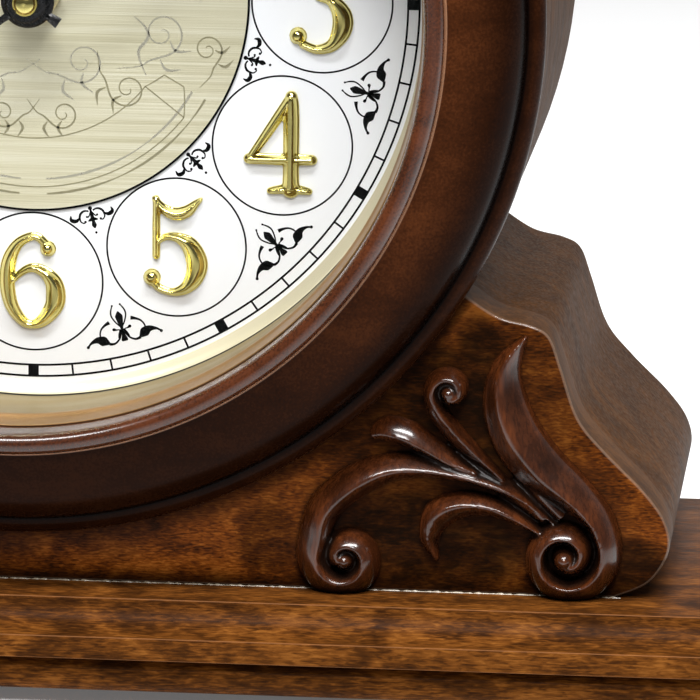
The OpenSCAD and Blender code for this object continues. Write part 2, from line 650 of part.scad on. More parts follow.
module movement_rear() color("darkslategray") difference() {
    union() {
        difference() {
            move_box(mid_y, rear_y);
            move_pocket(mid_y - 1, rear_y - m_wall);
        }
        dial_slab(bay_y, rear_y) translate([-bay_x - bay_wall, bay_z0 - bay_wall])
            square([2 * (bay_x + bay_wall), bay_z1 - bay_z0 + 2 * bay_wall]);
        for (s = [0, 1]) dial_slab(rear_y - 0.5, rear_y + 3) translate([2 - move_w / 2,
            s > 0 ? cover_z1 + 0.3 : cover_z0 - 0.3 - rail_h]) square([move_w - 4, rail_h]);
        for (s = [0, 1]) dial_slab(rear_y + 2.2, rear_y + 3) translate([2 - move_w / 2,
            s > 0 ? cover_z1 - 1.2 : cover_z0 - 0.3 - rail_h]) square([move_w - 4, rail_h + 1.5]);
    }
    dial_slab(bay_y + 1.2, rear_y + 1) translate([-bay_x, bay_z0])
        square([2 * bay_x, bay_z1 - bay_z0]);
    pin(set_x, set_z, set_shaft_r + run_gap, mid_y - 1, rear_y + 1);
    for (x = [selector_x, volume_x]) dial_slab(rear_y - m_wall - 1, rear_y + 1)
        translate([x - 2, slot_z - slot_h / 2]) square([slot_w, slot_h]);
    for (p = screw_at) {
        pin(p[0], p[1], screw_r + 0.4, mid_y - 1, rear_y + 1);
        pin(p[0], p[1], screw_head_r + 0.3, rear_y - head_t - 0.2, rear_y + 4);
    }
}
head_t = 1.6;
module movement_screws() color("silver") for (p = screw_at) {
    pin(p[0], p[1], screw_r, move_y + 4, rear_y - head_t - 0.2);
    difference() {
        pin(p[0], p[1], screw_head_r, rear_y - head_t - 0.2, rear_y - 0.2);
        translate([p[0] - 3, rear_y - 1, dial_z + p[1] - 0.3]) cube([6, 1, 0.6]);
    }
}
module train_plate() color("lightgray") difference() {
    dial_slab(plate_y, plate_y + plate_t) translate([-24, -20.4]) square([58, 46]);
    for (p = [[motion_x, motion_z], [third_x, third_z]])
        pin(p[0], p[1], shaft_r + run_gap, plate_y - 1, plate_y + plate_t + 1);
    pin(0, 0, arbor_r + run_gap, plate_y - 1, plate_y + plate_t + 1);
    pin(set_x, set_z, set_shaft_r + run_gap, plate_y - 1, plate_y + plate_t + 1);
}
module centre_arbor() color("gold") {
    pin(0, 0, arbor_r, minute_y - hand_t - 1.5, plate_y + plate_t + 0.6);
    dial_slab(motion_y, centre_y + 1.2) gear(motion_m, 12, motion_a);
    dial_slab(centre_y, centre_y + 1.2) gear(third_m, 54, third_a);
}
module hour_wheel() color("white") difference() {
    union() {
        dial_slab(hour_wheel_y, hour_wheel_y + 1.5) gear(hour_m, 40, motion_a);
        pin(0, 0, pipe_r, hour_y - hand_t - 0.6, hour_wheel_y + 0.1);
    }
    pin(0, 0, arbor_r + run_gap, hour_y - 3, hour_wheel_y + 3);
}
module motion_wheel() color("white") translate([motion_x, 0, motion_z]) {
    pin(0, 0, shaft_r, move_y + 1.1, plate_y + plate_t);
    dial_slab(hour_wheel_y, motion_y + 0.2) gear(hour_m, 10, motion_a + 180 + 18);
    dial_slab(motion_y, motion_y + 1.3) gear(motion_m, 36, motion_a + 180 + 5);
}
module third_wheel() color("white") translate([third_x, 0, third_z]) {
    pin(0, 0, shaft_r, move_y + 1.1, plate_y + plate_t);
    dial_slab(centre_y - 0.2, third_y + 0.2) gear(third_m, 9, third_a + 180 + 20);
    dial_slab(third_y, third_y + 1) gear(rotor_m, 50, 0);
}
set_knob_r = 7;
module set_knob() color("dimgray") translate([set_x, 0, set_z]) {
    pin(0, 0, shaft_r, move_y + 1.1, motion_y + 0.1);
    dial_slab(motion_y - 0.2, motion_y + 1.5) gear(motion_m, 12, motion_a + 180);
    pin(0, 0, set_shaft_r, motion_y + 1.5, rear_y + 1);
    dial_slab(rear_y + 0.6, rear_y + 7) difference() {
        circle(set_knob_r);
        for (i = [0:23]) rotate(15 * i) translate([set_knob_r + 0.4, 0]) circle(0.8, $fn = 24);
    }
}
motor_z = 14;
module motor_housing() color("gainsboro") dial_slab(bay_y, bay_y + 10)
    round_rect(-40, -24, motor_z - 14, motor_z + 3, 2);
module motor_coil() color("chocolate") translate([-33, bay_y + 4.25, dial_z + motor_z + 7.4])
    rotate([0, 90, 0]) {
        cylinder(r = 3.4, h = 10);
        cylinder(r = 4.2, h = 1);
        translate([0, 0, 9.4]) cylinder(r = 4.2, h = 1);
    }
board_y = rear_y - 6.4;
module circuit_board() color("darkgreen") {
    dial_slab(board_y, board_y + 1.4) difference() {
        translate([-32, -18]) square([64, 48]);
        translate([set_x, set_z]) circle(3.2);
    }
    dial_slab(board_y - 3, board_y) {
        translate([-24, -10]) square([14, 10]);
        translate([2, 4]) circle(3);
        translate([12, 8]) square([10, 4]);
    }
}
// Slider with its stem in the slot; travel runs along +X
slide_travel = 8;
module slider(x) {
    dial_slab(rear_y - 4.2, rear_y + 0.9) translate([x - 1.6, slot_z - 1.6]) square([7.6, 3.2]);
    dial_slab(rear_y + 0.4, rear_y + 2.2) difference() {
        round_rect(x - 2, x + 6.4, slot_z - 3.4, slot_z + 3.4, 1);
        for (k = [0:2]) translate([x + 0.4 + 1.6 * k, slot_z - 4]) square([0.6, 8]);
    }
}
module chime_selector() color("ivory") slider(selector_x);
module volume_slider() color("ivory") slider(volume_x);
cell_r = 12.9;
cell_l = 49;
cell_z = [-35.6, -62.2];
cell_y = bay_y + 1.2 + cell_r + 0.1;
module at_cells() for (z = cell_z) translate([0, cell_y, dial_z + z]) rotate([0, 90, 0]) children();
module batteries() color("slategray") at_cells() {
    translate([0, 0, -cell_l / 2]) cylinder(r = cell_r, h = cell_l - 1.8);
    translate([0, 0, cell_l / 2 - 1.9]) cylinder(r = 3.8, h = 1.9);
}
contact_t = 0.4;
module battery_contacts() color("silver") at_cells() {
    for (s = [0, 1]) translate([-6, -6, s > 0 ? bay_x - contact_t : -bay_x])
        cube([12, 12, contact_t]);
    translate([0, 0, cell_l / 2 + 0.05]) cylinder(r = 2.4, h = bay_x - cell_l / 2 - contact_t);
    translate([0, 0, -bay_x]) cylinder(r = 4.4, h = bay_x - cell_l / 2 - 0.05);
}
cover_z0 = bay_z0 - 0.6;
cover_z1 = bay_z1 + 0.6;
cover_x = 30;
module battery_cover() color("dimgray") difference() {
    dial_slab(rear_y + 0.3, rear_y + 1.9) translate([-cover_x, cover_z0])
        square([2 * cover_x, cover_z1 - cover_z0]);
    for (k = [0:4]) dial_slab(rear_y + 1.4, rear_y + 3) translate([-22 + 2.4 * k, -60])
        square([1.2, 22]);
}

// ---- Speaker ----
speaker_screw_r = 24.1;
speaker_screw_a = [45, 165, 285];
module speaker_turn(y) translate([speaker_x, y, dial_z + speaker_z]) rotate([90, 0, 0])
    rotate_extrude() children();
module speaker_frame() color("dimgray") difference() {
    speaker_turn(bp_y0) polygon([[21, 0], [speaker_r, 0], [speaker_r, 1.2], [22.3, 1.2],
        [13.5, 13], [6, 13], [6, 12], [12.8, 12], [21.2, 1]]);
    for (a = speaker_screw_a) pin(speaker_x + speaker_screw_r * cos(a),
        speaker_z + speaker_screw_r * sin(a), 1.15, bp_y0 - 3, bp_y0 + 1);
}
module speaker_cone() color("black") speaker_turn(bp_y0) polygon([[20.8, 0.4], [20.8, 1],
    [7, 10], [0, 8], [0, 7.4], [6.8, 9.2], [18, 1.6], [19.4, 0.4]]);
module speaker_magnet() color("darkgray") speaker_turn(bp_y0)
    translate([0, 13]) square([12.5, 8]);
module speaker_screws() color("silver") for (a = speaker_screw_a)
    translate([speaker_screw_r * cos(a) + speaker_x, 0, speaker_screw_r * sin(a) + speaker_z]) {
        pin(0, 0, 1.1, bp_y0 - 1.2, bp_y0 + 5);
        pin(0, 0, 1.6, bp_y0 - 2.6, bp_y0 - 1.2);
    }
// Two-core lead from the housing's side to the speaker, held at both ends
lead_r = 1.2;
lead_route = [[44.3, 2, -10], [49, 2, -10], [56, 4, -14], [63, 9, -28], [69, 17, -50], [75, 28, -76],
    [80, 39, -97], [83, 47, -105], [86, 50, -106], [90, 50, -106]];
module speaker_lead() color("dimgray") tube(smooth(lead_route, 3), lead_r);
// Eight-sided tube swept along points
function frame_u(d) = unit(cross(d, [0.1, 1, 0.05]));
module tube(p, r) {
    n = len(p);
    pts = [for (i = [0:n - 1]) let(d = unit(p[min(i + 1, n - 1)] - p[max(i - 1, 0)]),
        u = frame_u(d), v = cross(d, u)) for (k = [0:7])
        p[i] + [0, 0, dial_z] + r * (u * cos(45 * k) + v * sin(45 * k))];
    faces = concat([[for (k = [0:7]) k]], [[for (k = [7:-1:0]) (n - 1) * 8 + k]],
        [for (i = [0:n - 2], k = [0:7]) [i * 8 + k, i * 8 + 8 + k, i * 8 + 8 + (k + 1) % 8,
            i * 8 + (k + 1) % 8]]);
    polyhedron(pts, faces);
}

front_panel();
arch_shell();
side_shell_left();
side_shell_right();
bottom_board();
glue_blocks();
back_panel();
back_screws();
back_door();
hinge_frame_leaves();
hinge_door_leaves();
hinge_pins();
hinge_frame_screws();
hinge_door_screws();
door_knob();
magnet_catch();
strike_plate();
base_board();
base_plinth();
rubber_feet();
foot_screws();
base_screws();
onlay_left();
onlay_right();
bezel_ring();
glass();
glass_ring();
rehaut();
dial_spacer();
dial_plate();
dial_disc();
dial_backboard();
dial_screws();
numerals();
hour_hand();
minute_hand();
hand_cap();
bush_nut();
movement_front();
movement_rear();
movement_screws();
train_plate();
centre_arbor();
hour_wheel();
motion_wheel();
third_wheel();
set_knob();
motor_housing();
motor_coil();
circuit_board();
chime_selector();
volume_slider();
batteries();
battery_contacts();
battery_cover();
speaker_frame();
speaker_cone();
speaker_magnet();
speaker_screws();
speaker_lead();
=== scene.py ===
"""Mantel clock: the visible pieces and their finishes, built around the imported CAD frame.

Shapes are worked out in millimetres about the dial: x to the right, z up from the dial's centre,
and f forwards, which is towards the reader. They become metres when a piece is made.
"""
import json
from math import atan2, cos, degrees, hypot, pi, radians, sin, sqrt

import bmesh
import bpy
import numpy as np
from mathutils import Matrix, Vector


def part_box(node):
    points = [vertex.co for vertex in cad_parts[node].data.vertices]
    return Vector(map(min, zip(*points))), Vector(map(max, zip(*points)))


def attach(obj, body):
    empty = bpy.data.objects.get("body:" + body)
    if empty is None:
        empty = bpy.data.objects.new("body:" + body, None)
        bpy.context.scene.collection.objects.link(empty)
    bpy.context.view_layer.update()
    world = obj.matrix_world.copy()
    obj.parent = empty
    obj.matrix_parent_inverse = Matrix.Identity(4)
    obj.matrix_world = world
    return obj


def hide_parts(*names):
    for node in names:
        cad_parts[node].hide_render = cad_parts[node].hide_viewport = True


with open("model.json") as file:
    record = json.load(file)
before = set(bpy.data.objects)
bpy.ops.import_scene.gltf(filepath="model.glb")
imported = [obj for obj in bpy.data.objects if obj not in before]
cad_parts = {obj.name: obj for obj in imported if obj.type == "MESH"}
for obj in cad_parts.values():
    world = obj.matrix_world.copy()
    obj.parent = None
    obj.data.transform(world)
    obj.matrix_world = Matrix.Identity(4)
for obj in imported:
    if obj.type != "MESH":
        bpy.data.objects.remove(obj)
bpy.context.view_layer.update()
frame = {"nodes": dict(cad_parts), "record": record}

MM = 0.001
NODES = frame["nodes"]
BODY = {node: body for body, nodes in frame["record"]["behaviour"]["bodies"].items() for node in nodes}
SLOT = {row["node"]: row["material_slot"] for row in frame["record"]["subparts"]}


def low(node):
    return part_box(node)[0] / MM


def high(node):
    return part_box(node)[1] / MM


# Places read from the frame, in millimetres
DIAL_Z = (low("dial_plate").z + high("dial_plate").z) / 2
DIAL_Y = low("dial_plate").y
FACE_Y = low("front_panel").y
GLASS_Y = low("glass").y
BASE_TOP = high("base_board").z
PANEL_TO_DIAL = DIAL_Y - FACE_Y
BORE_R = high("glass_ring").x
BEZEL_R = high("bezel_ring").x

# Radii of the dial's print and numerals
TRACK_R = (98.5, 101.5)
NUMERAL_RING_R = 75.6
CIRCLE_RING_R = 76.0
CIRCLE_R = (18.2, 18.68)
CENTRE_R = (56.5, 57.1)

# Print and engraving are thin solids from PRINT_BACK to their own heights, forwards of their plane
PRINT_BACK = -0.01
PRINT_F = 0.03
ENGRAVED_F = 0.035
RIBBON_F = 0.04

ONLAY_VOXEL = 0.42
NUMERAL_VOXEL = 0.24


# ---- shaping ----

def curve(points, steps):
    """Catmull-Rom curve through points of any length."""
    p = np.array(points, float)
    out = []
    for i in range(len(p) - 1):
        a, b, c, d = p[max(i - 1, 0)], p[i], p[i + 1], p[min(i + 2, len(p) - 1)]
        for k in range(steps):
            t = k / steps
            out.append(0.5 * (2 * b + (c - a) * t + (2 * a - 5 * b + 4 * c - d) * t * t
                              + (3 * b - a - 3 * c + d) * t ** 3))
    out.append(p[-1])
    return np.array(out)


def around(n):
    """n angles spread evenly round a circle."""
    return np.linspace(0, 2 * pi, n, endpoint=False)


def arc(cx, cy, rx, ry, a0, a1, n):
    """Points along an ellipse from a0 to a1 degrees."""
    t = np.radians(np.linspace(a0, a1, n + 1))
    return [(cx + rx * cos(a), cy + ry * sin(a)) for a in t]


def spiral(cx, cz, r, angles, *ends, n=12):
    """Points winding about (cx, cz); r, angles and each of ends are (first, last) pairs."""
    rows = []
    for t in np.linspace(0, 1, n + 1):
        radius = r[0] + (r[1] - r[0]) * t
        angle = radians(angles[0] + (angles[1] - angles[0]) * t)
        rows.append((cx + radius * cos(angle), cz + radius * sin(angle),
                     *(e[0] + (e[1] - e[0]) * t for e in ends)))
    return rows


def sideways(p):
    """Unit vectors to the left of a path's points, in its plane."""
    d = np.gradient(p[:, :2], axis=0)
    d /= np.maximum(np.linalg.norm(d, axis=1), 1e-9)[:, None]
    return np.stack([-d[:, 1], d[:, 0]], 1)


class Shells:
    """Closed shells gathered as (x, z, f) points in millimetres, and made into one piece."""

    def __init__(self):
        self.points = []
        self.faces = []

    def add(self, points, faces):
        start = len(self.points)
        self.points += [tuple(p) for p in points]
        self.faces += [[start + i for i in face] for face in faces]

    def strip(self, rings, closed):
        """A tube through rings of points, capped at its ends or joined into a loop."""
        n, k = len(rings), len(rings[0])
        faces = [[i * k + j, i * k + (j + 1) % k, (i + 1) % n * k + (j + 1) % k, (i + 1) % n * k + j]
                 for i in range(n if closed else n - 1) for j in range(k)]
        if not closed:
            faces += [list(range(k))[::-1], [(n - 1) * k + j for j in range(k)]]
        self.add([p for ring in rings for p in ring], faces)

    def sweep(self, path, section, closed=False):
        """Sweeps section(row) = [(across, f), ...] along path rows that start with x and z."""
        path = np.array(path, float)
        side = sideways(path)
        self.strip([[(row[0] + side[i][0] * u, row[1] + side[i][1] * u, f) for u, f in section(row)]
                    for i, row in enumerate(path)], closed)

    def ribbon(self, path, top):
        """A flat printed stroke along rows [x, z, half width]."""
        self.sweep(path, lambda row: [(-row[2], PRINT_BACK), (row[2], PRINT_BACK), (row[2], top),
                                      (-row[2], top)])

    def ring(self, cx, cz, r0, r1, top, n):
        """A flat printed ring between two radii."""
        section = (r0, PRINT_BACK), (r1, PRINT_BACK), (r1, top), (r0, top)
        self.strip([[(cx + r * cos(t), cz + r * sin(t), f) for r, f in section]
                    for t in around(n)], True)

    def disc(self, cx, cz, r, top, n=24):
        """A flat printed dot."""
        self.strip([[(cx + r * cos(t), cz + r * sin(t), f) for t in around(n)]
                    for f in (PRINT_BACK, top)], False)

    def dome(self, cx, cz, r, f0, height, n=20, rows=8):
        """Half a flattened ball that stands on f0."""
        self.strip([[(cx + r * cos(a) * cos(t), cz + r * cos(a) * sin(t),
                      f0 + height * sin(a)) for t in around(n)]
                    for a in np.linspace(0, pi / 2 - 0.12, rows)], False)

    def lathe(self, profile, n=256):
        """Turns a closed profile of (radius, f) about the dial's axis."""
        self.strip([[(r * cos(t), r * sin(t), f) for r, f in profile] for t in around(n)], True)

    def turned(self, angle, radius):
        """The shells moved out to radius along +z and turned clockwise by angle degrees."""
        c, s = cos(radians(angle)), sin(radians(angle))
        moved = Shells()
        moved.add([(x * c + (z + radius) * s, (z + radius) * c - x * s, f) for x, z, f in self.points],
                  self.faces)
        return moved

    def join(self, other):
        self.add(other.points, other.faces)

    def mesh(self, name, plane_y):
        """A mesh of the shells, with f measured forwards from plane_y."""
        mesh = bpy.data.meshes.new(name)
        mesh.from_pydata([(x * MM, (plane_y - f) * MM, (DIAL_Z + z) * MM) for x, z, f in self.points],
                         [], self.faces)
        return mesh


def linked(name, data):
    """A new object in the scene."""
    obj = bpy.data.objects.new(name, data)
    bpy.context.scene.collection.objects.link(obj)
    return obj


def dress(mesh, material):
    mesh.materials.clear()
    mesh.materials.append(material)


def outward(mesh, sharp=None):
    """Turns the normals outwards and, given sharp, shades smooth but for edges over sharp degrees."""
    work = bmesh.new()
    work.from_mesh(mesh)
    bmesh.ops.recalc_face_normals(work, faces=work.faces)
    if sharp:
        for face in work.faces:
            face.smooth = True
        for edge in work.edges:
            edge.smooth = len(edge.link_faces) == 2 and edge.calc_face_angle(0) < radians(sharp)
    work.to_mesh(mesh)
    work.free()


def piece(name, shells, plane_y, material, node=None, body=None, sharp=35):
    """One Blender piece from shells whose f is measured forwards from plane_y."""
    return placed(name, shells.mesh(name, plane_y), material, node, body, sharp)


def placed(name, mesh, material, node=None, body=None, sharp=35):
    """Finishes a mesh: outward normals, smooth shading with sharp edges, material, body and slot."""
    outward(mesh, sharp)
    obj = linked(name, mesh)
    dress(mesh, material)
    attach(obj, body or BODY[node])
    if node:
        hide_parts(node)
    return obj


def refined(node, material, width, segments=3, joint_y=None):
    """A finished copy of a CAD node: joined faces, edges rounded by width, and a mask on the rounded edges
    for their wear and a painted highlight.

    Edges in the plane y = joint_y, where a glued board meets its neighbour, stay tight.
    """
    work = bmesh.new()
    work.from_mesh(NODES[node].data)
    bmesh.ops.remove_doubles(work, verts=work.verts, dist=2e-6)
    bmesh.ops.dissolve_limit(work, angle_limit=radians(0.6), verts=work.verts, edges=work.edges)
    corner = radians(32)
    edges = [e for e in work.edges if len(e.link_faces) == 2 and e.calc_face_angle(0) > corner
             and not (joint_y and all(abs(v.co.y / MM - joint_y) < 0.01 for v in e.verts))]
    done = bmesh.ops.bevel(work, geom=edges, offset=width * MM, segments=segments, profile=0.5,
                           affect="EDGES", clamp_overlap=True)
    edge_wear_and_highlight = work.verts.layers.float.new("edge_wear_and_highlight")
    rounds = set(done["faces"])
    for vert in {v for face in rounds for v in face.verts}:
        vert[edge_wear_and_highlight] = 1.0 if rounds.issuperset(vert.link_faces) else 0.0
    mesh = bpy.data.meshes.new(node + "_finished")
    work.to_mesh(mesh)
    work.free()
    return placed(node + "_finished", mesh, material, node, sharp=42)


def voxel(name, shells, plane_y, size):
    """Joins overlapping shells into one lightly smoothed skin of quads, size millimetres across."""
    mesh = shells.mesh(name + "_raw", plane_y)
    outward(mesh)
    raw = linked(name + "_raw", mesh)
    remesh = raw.modifiers.new("skin", "REMESH")
    remesh.mode = "VOXEL"
    remesh.voxel_size = size * MM
    soften = raw.modifiers.new("soften", "SMOOTH")
    soften.factor = 0.5
    soften.iterations = 1
    skin = bpy.data.meshes.new_from_object(raw.evaluated_get(bpy.context.evaluated_depsgraph_get()))
    bpy.data.objects.remove(raw)
    return skin


class Surface:
    """A mesh's vertices as arrays, with the average of each vertex's neighbours."""

    def __init__(self, mesh):
        self.mesh = mesh
        self.count = len(mesh.vertices)
        co = np.empty(self.count * 3, np.float32)
        mesh.vertices.foreach_get("co", co)
        self.co = co.reshape(-1, 3).astype(float)
        self.normal = np.array([v.normal for v in mesh.vertices], float)
        ends = np.empty(len(mesh.edges) * 2, np.int32)
        mesh.edges.foreach_get("vertices", ends)
        self.a, self.b = ends.reshape(-1, 2).T
        self.degree = np.bincount(self.a, minlength=self.count) + np.bincount(self.b, minlength=self.count)

    def spread(self, v):
        out = np.zeros_like(v)
        for k in range(v.shape[1]):
            out[:, k] = (np.bincount(self.a, v[self.b, k], self.count)
                         + np.bincount(self.b, v[self.a, k], self.count))
        return out / np.maximum(self.degree, 1)[:, None]

    def relief(self, rounds):
        """How far each vertex stands proud of its surroundings, from 0 in hollows to 1 on crests."""
        wide = self.co.copy()
        for _ in range(rounds):
            wide = self.spread(wide)
        proud = ((self.co - wide) * self.normal).sum(1)[:, None]
        for _ in range(2):
            proud = self.spread(proud)
        scale = np.percentile(np.abs(proud), 92) + 1e-9
        return np.clip(0.5 + 0.5 * proud[:, 0] / scale, 0, 1)

    def soften_hollows(self, rounds, passes):
        """Smooths the valleys between limbs and leaves the crests as they are."""
        share = np.clip((0.46 - self.relief(rounds)) / 0.1, 0, 1)[:, None]
        for _ in range(2):
            share = np.maximum(share, self.spread(share))
        for _ in range(passes):
            self.co += 0.6 * share * (self.spread(self.co) - self.co)
        self.mesh.vertices.foreach_set("co", self.co.ravel().astype(np.float32))
        self.mesh.update()

    def store_relief(self, rounds):
        layer = self.mesh.attributes.new("relief", "FLOAT", "POINT")
        layer.data.foreach_set("value", self.relief(rounds).astype(np.float32))


# ---- finishes ----

def linear(rgb):
    """An sRGB colour, 0 to 255, as Blender's linear RGBA."""
    return tuple(c / 255 / 12.92 if c <= 10 else ((c / 255 + 0.055) / 1.055) ** 2.4 for c in rgb) + (1.0,)


class Finish:
    """One procedural material. Sizes are in millimetres, colours are sRGB from 0 to 255."""

    def __init__(self, name, rough, metal=0.0, **sockets):
        self.made = bpy.data.materials.new(name)
        self.made.use_nodes = True
        self.tree = self.made.node_tree
        self.surface = self.tree.nodes["Principled BSDF"]
        for socket, value in {"Roughness": rough, "Metallic": metal, **sockets}.items():
            self.surface.inputs[socket.replace("_", " ")].default_value = value
        self.where = self.add("ShaderNodeTexCoord").outputs["Object"]

    def add(self, kind, inputs=(), **settings):
        """A new node; inputs are pairs of a socket's name or number and what feeds it."""
        node = self.tree.nodes.new(kind)
        for key, value in settings.items():
            setattr(node, key, value)
        for key, value in inputs:
            self.feed(node.inputs[key], value)
        return node

    def feed(self, socket, value):
        if isinstance(value, bpy.types.NodeSocket):
            self.tree.links.new(value, socket)
        elif value is not None:
            socket.default_value = value

    def noise(self, size, detail=3.0, warp=0.0, seed=0.0):
        """Noise from 0 to 1 with features about size across, which is one number or (x, y, z)."""
        place = self.add("ShaderNodeMapping", (
            ("Vector", self.where), ("Location", (seed, 2 * seed, 3 * seed)),
            ("Scale", [1 / (s * MM) for s in np.broadcast_to(size, 3)])))
        return self.add("ShaderNodeTexNoise", (
            ("Vector", place.outputs["Vector"]), ("Scale", 1.0), ("Detail", detail), ("Distortion", warp),
        )).outputs["Fac"]

    def math(self, kind, a, b=None, c=None):
        return self.add("ShaderNodeMath", enumerate((a, b, c)), operation=kind).outputs[0]

    def times(self, a, b):
        return self.math("MULTIPLY", a, b)

    def most(self, a, b):
        return self.math("MAXIMUM", a, b)

    def span(self, value, a0, a1, b0=0.0, b1=1.0):
        """Maps a0..a1 smoothly onto b0..b1."""
        return self.add("ShaderNodeMapRange", enumerate((value, a0, a1, b0, b1)),
                        interpolation_type="SMOOTHSTEP").outputs[0]

    def tones(self, value, stops):
        """Colours along value: stops are (position, sRGB colour)."""
        node = self.add("ShaderNodeValToRGB", (("Fac", value),))
        ramp = node.color_ramp
        while len(ramp.elements) < len(stops):
            ramp.elements.new(0.5)
        for element, (position, rgb) in zip(ramp.elements, stops):
            element.position = position
            element.color = linear(rgb)
        return node.outputs["Color"]

    def mix(self, share, a, b, kind="MIX"):
        node = self.add("ShaderNodeMix", data_type="RGBA", blend_type=kind)
        for socket, value in (("Factor_Float", share), ("A_Color", a), ("B_Color", b)):
            self.feed(next(s for s in node.inputs if s.identifier == socket), value)
        return next(s for s in node.outputs if s.identifier == "Result_Color")

    def color(self, value):
        self.feed(self.surface.inputs["Base Color"], value)

    def rough(self, value):
        self.feed(self.surface.inputs["Roughness"], value)

    def bump(self, value, height, before=None):
        """Raises the surface by up to height millimetres, on top of an earlier bump."""
        inputs = (("Distance", height * MM), ("Height", value), ("Normal", before))
        node = self.add("ShaderNodeBump", inputs)
        self.feed(self.surface.inputs["Normal"], node.outputs["Normal"])
        return node.outputs["Normal"]

    def axis(self, letter, vector=None):
        """One coordinate of a vector, or of the place on the object."""
        return self.add("ShaderNodeSeparateXYZ", ((0, vector or self.where),)).outputs[letter]

    def radius(self):
        """Distance from the dial's axis in millimetres."""
        x = self.times(self.axis("X"), 1 / MM)
        z = self.times(self.math("SUBTRACT", self.axis("Z"), DIAL_Z * MM), 1 / MM)
        return self.math("SQRT", self.math("ADD", self.times(x, x), self.times(z, z)))

    def facing(self, letter):
        """How squarely the surface faces along an axis, from 0 to 1."""
        normal = self.add("ShaderNodeNewGeometry").outputs["True Normal"]
        return self.math("ABSOLUTE", self.axis(letter, normal))

    def corner(self, reach):
        """How open the surface is to its surroundings within reach millimetres, from 0 in a corner to 1."""
        inputs = (("Distance", reach * MM),)
        return self.add("ShaderNodeAmbientOcclusion", inputs, samples=8).outputs["AO"]

    def stored(self, name):
        return self.add("ShaderNodeAttribute", attribute_name=name).outputs["Fac"]


def grain(f, long, cross, figure, seed=0.0, dash=9):
    """Wood figure from 0 to 1: cloudy mottling, dashes along the grain and fine fibre."""
    def feature(along, across):
        return [along if letter == long else across for letter in "XYZ"]
    mottle = f.noise(feature(figure * 1.8, figure), 3, 1.2, seed)
    dashes = f.noise(feature(cross * dash, cross), 3, 0.6, seed + 3)
    fibre = f.noise(feature(cross * dash * 3, cross * 0.4), 2, 0, seed + 7)
    both = f.math("MULTIPLY_ADD", dashes, 0.55, f.times(mottle, 0.6))
    return f.math("MULTIPLY_ADD", fibre, 0.25, f.math("SUBTRACT", both, 0.2)), fibre


def stained_wood(name, stops, rough, coat, long="X", cross=0.8, figure=9.0, edge=(120, 78, 48), seed=0.0,
                 bump=0.03, dash=9):
    f = Finish(name, rough, Coat_Weight=coat, Coat_Roughness=0.12, Specular_IOR_Level=0.015)
    value, fibre = grain(f, long, cross, figure, seed, dash)
    # Rounded edges lighter: edge wear and a painted highlight.
    f.color(f.mix(f.times(f.stored("edge_wear_and_highlight"), 0.5), f.tones(value, stops), linear(edge)))
    f.rough(f.span(fibre, 0.3, 0.7, rough * 0.85, rough * 1.25))
    f.bump(f.noise(6, 2, 0, seed), bump * 0.6, f.bump(fibre, bump))
    return f.made


def onlay_shadow(f):
    """Share of painted shade round the carvings and on the shoulders, with the dark glazing there, in the
    listed ellipses.
    """
    x = f.times(f.math("ABSOLUTE", f.axis("X")), 1 / MM)
    z = f.times(f.math("SUBTRACT", f.axis("Z"), DIAL_Z * MM), 1 / MM)
    share = None
    for cx, cz, across, tall, strength in SHADE_AND_GLAZE_SPOTS:
        dx = f.math("DIVIDE", f.math("SUBTRACT", x, cx), across)
        dz = f.math("DIVIDE", f.math("SUBTRACT", z, cz), tall)
        far = f.math("SQRT", f.math("ADD", f.times(dx, dx), f.times(dz, dz)))
        spot = f.span(far, 0.6, 1.3, strength, 0.0)
        share = spot if share is None else f.most(share, spot)
    ragged = f.span(f.noise((7, 7, 3), 3, 0.6, 11), 0.3, 0.7, 0.86, 1.0)
    return f.times(share, ragged)


# Ellipses of painted shade and dark glazing on the panel. Each: x, z, half width, half height, strength
SHADE_AND_GLAZE_SPOTS = [(108, -138, 32, 19, 0.97), (116, -106, 22, 16, 0.98), (160, -143, 14, 10, 0.94),
          (102, -94, 26, 13, 0.94), (121, -92, 9, 18, 0.96), (66, -138, 9, 11, 0.6),
          (138, -92, 24, 34, 0.7), (158, -114, 20, 24, 0.5), (132, -146, 16, 9, 0.72),
          (90, -104, 22, 14, 0.8)]


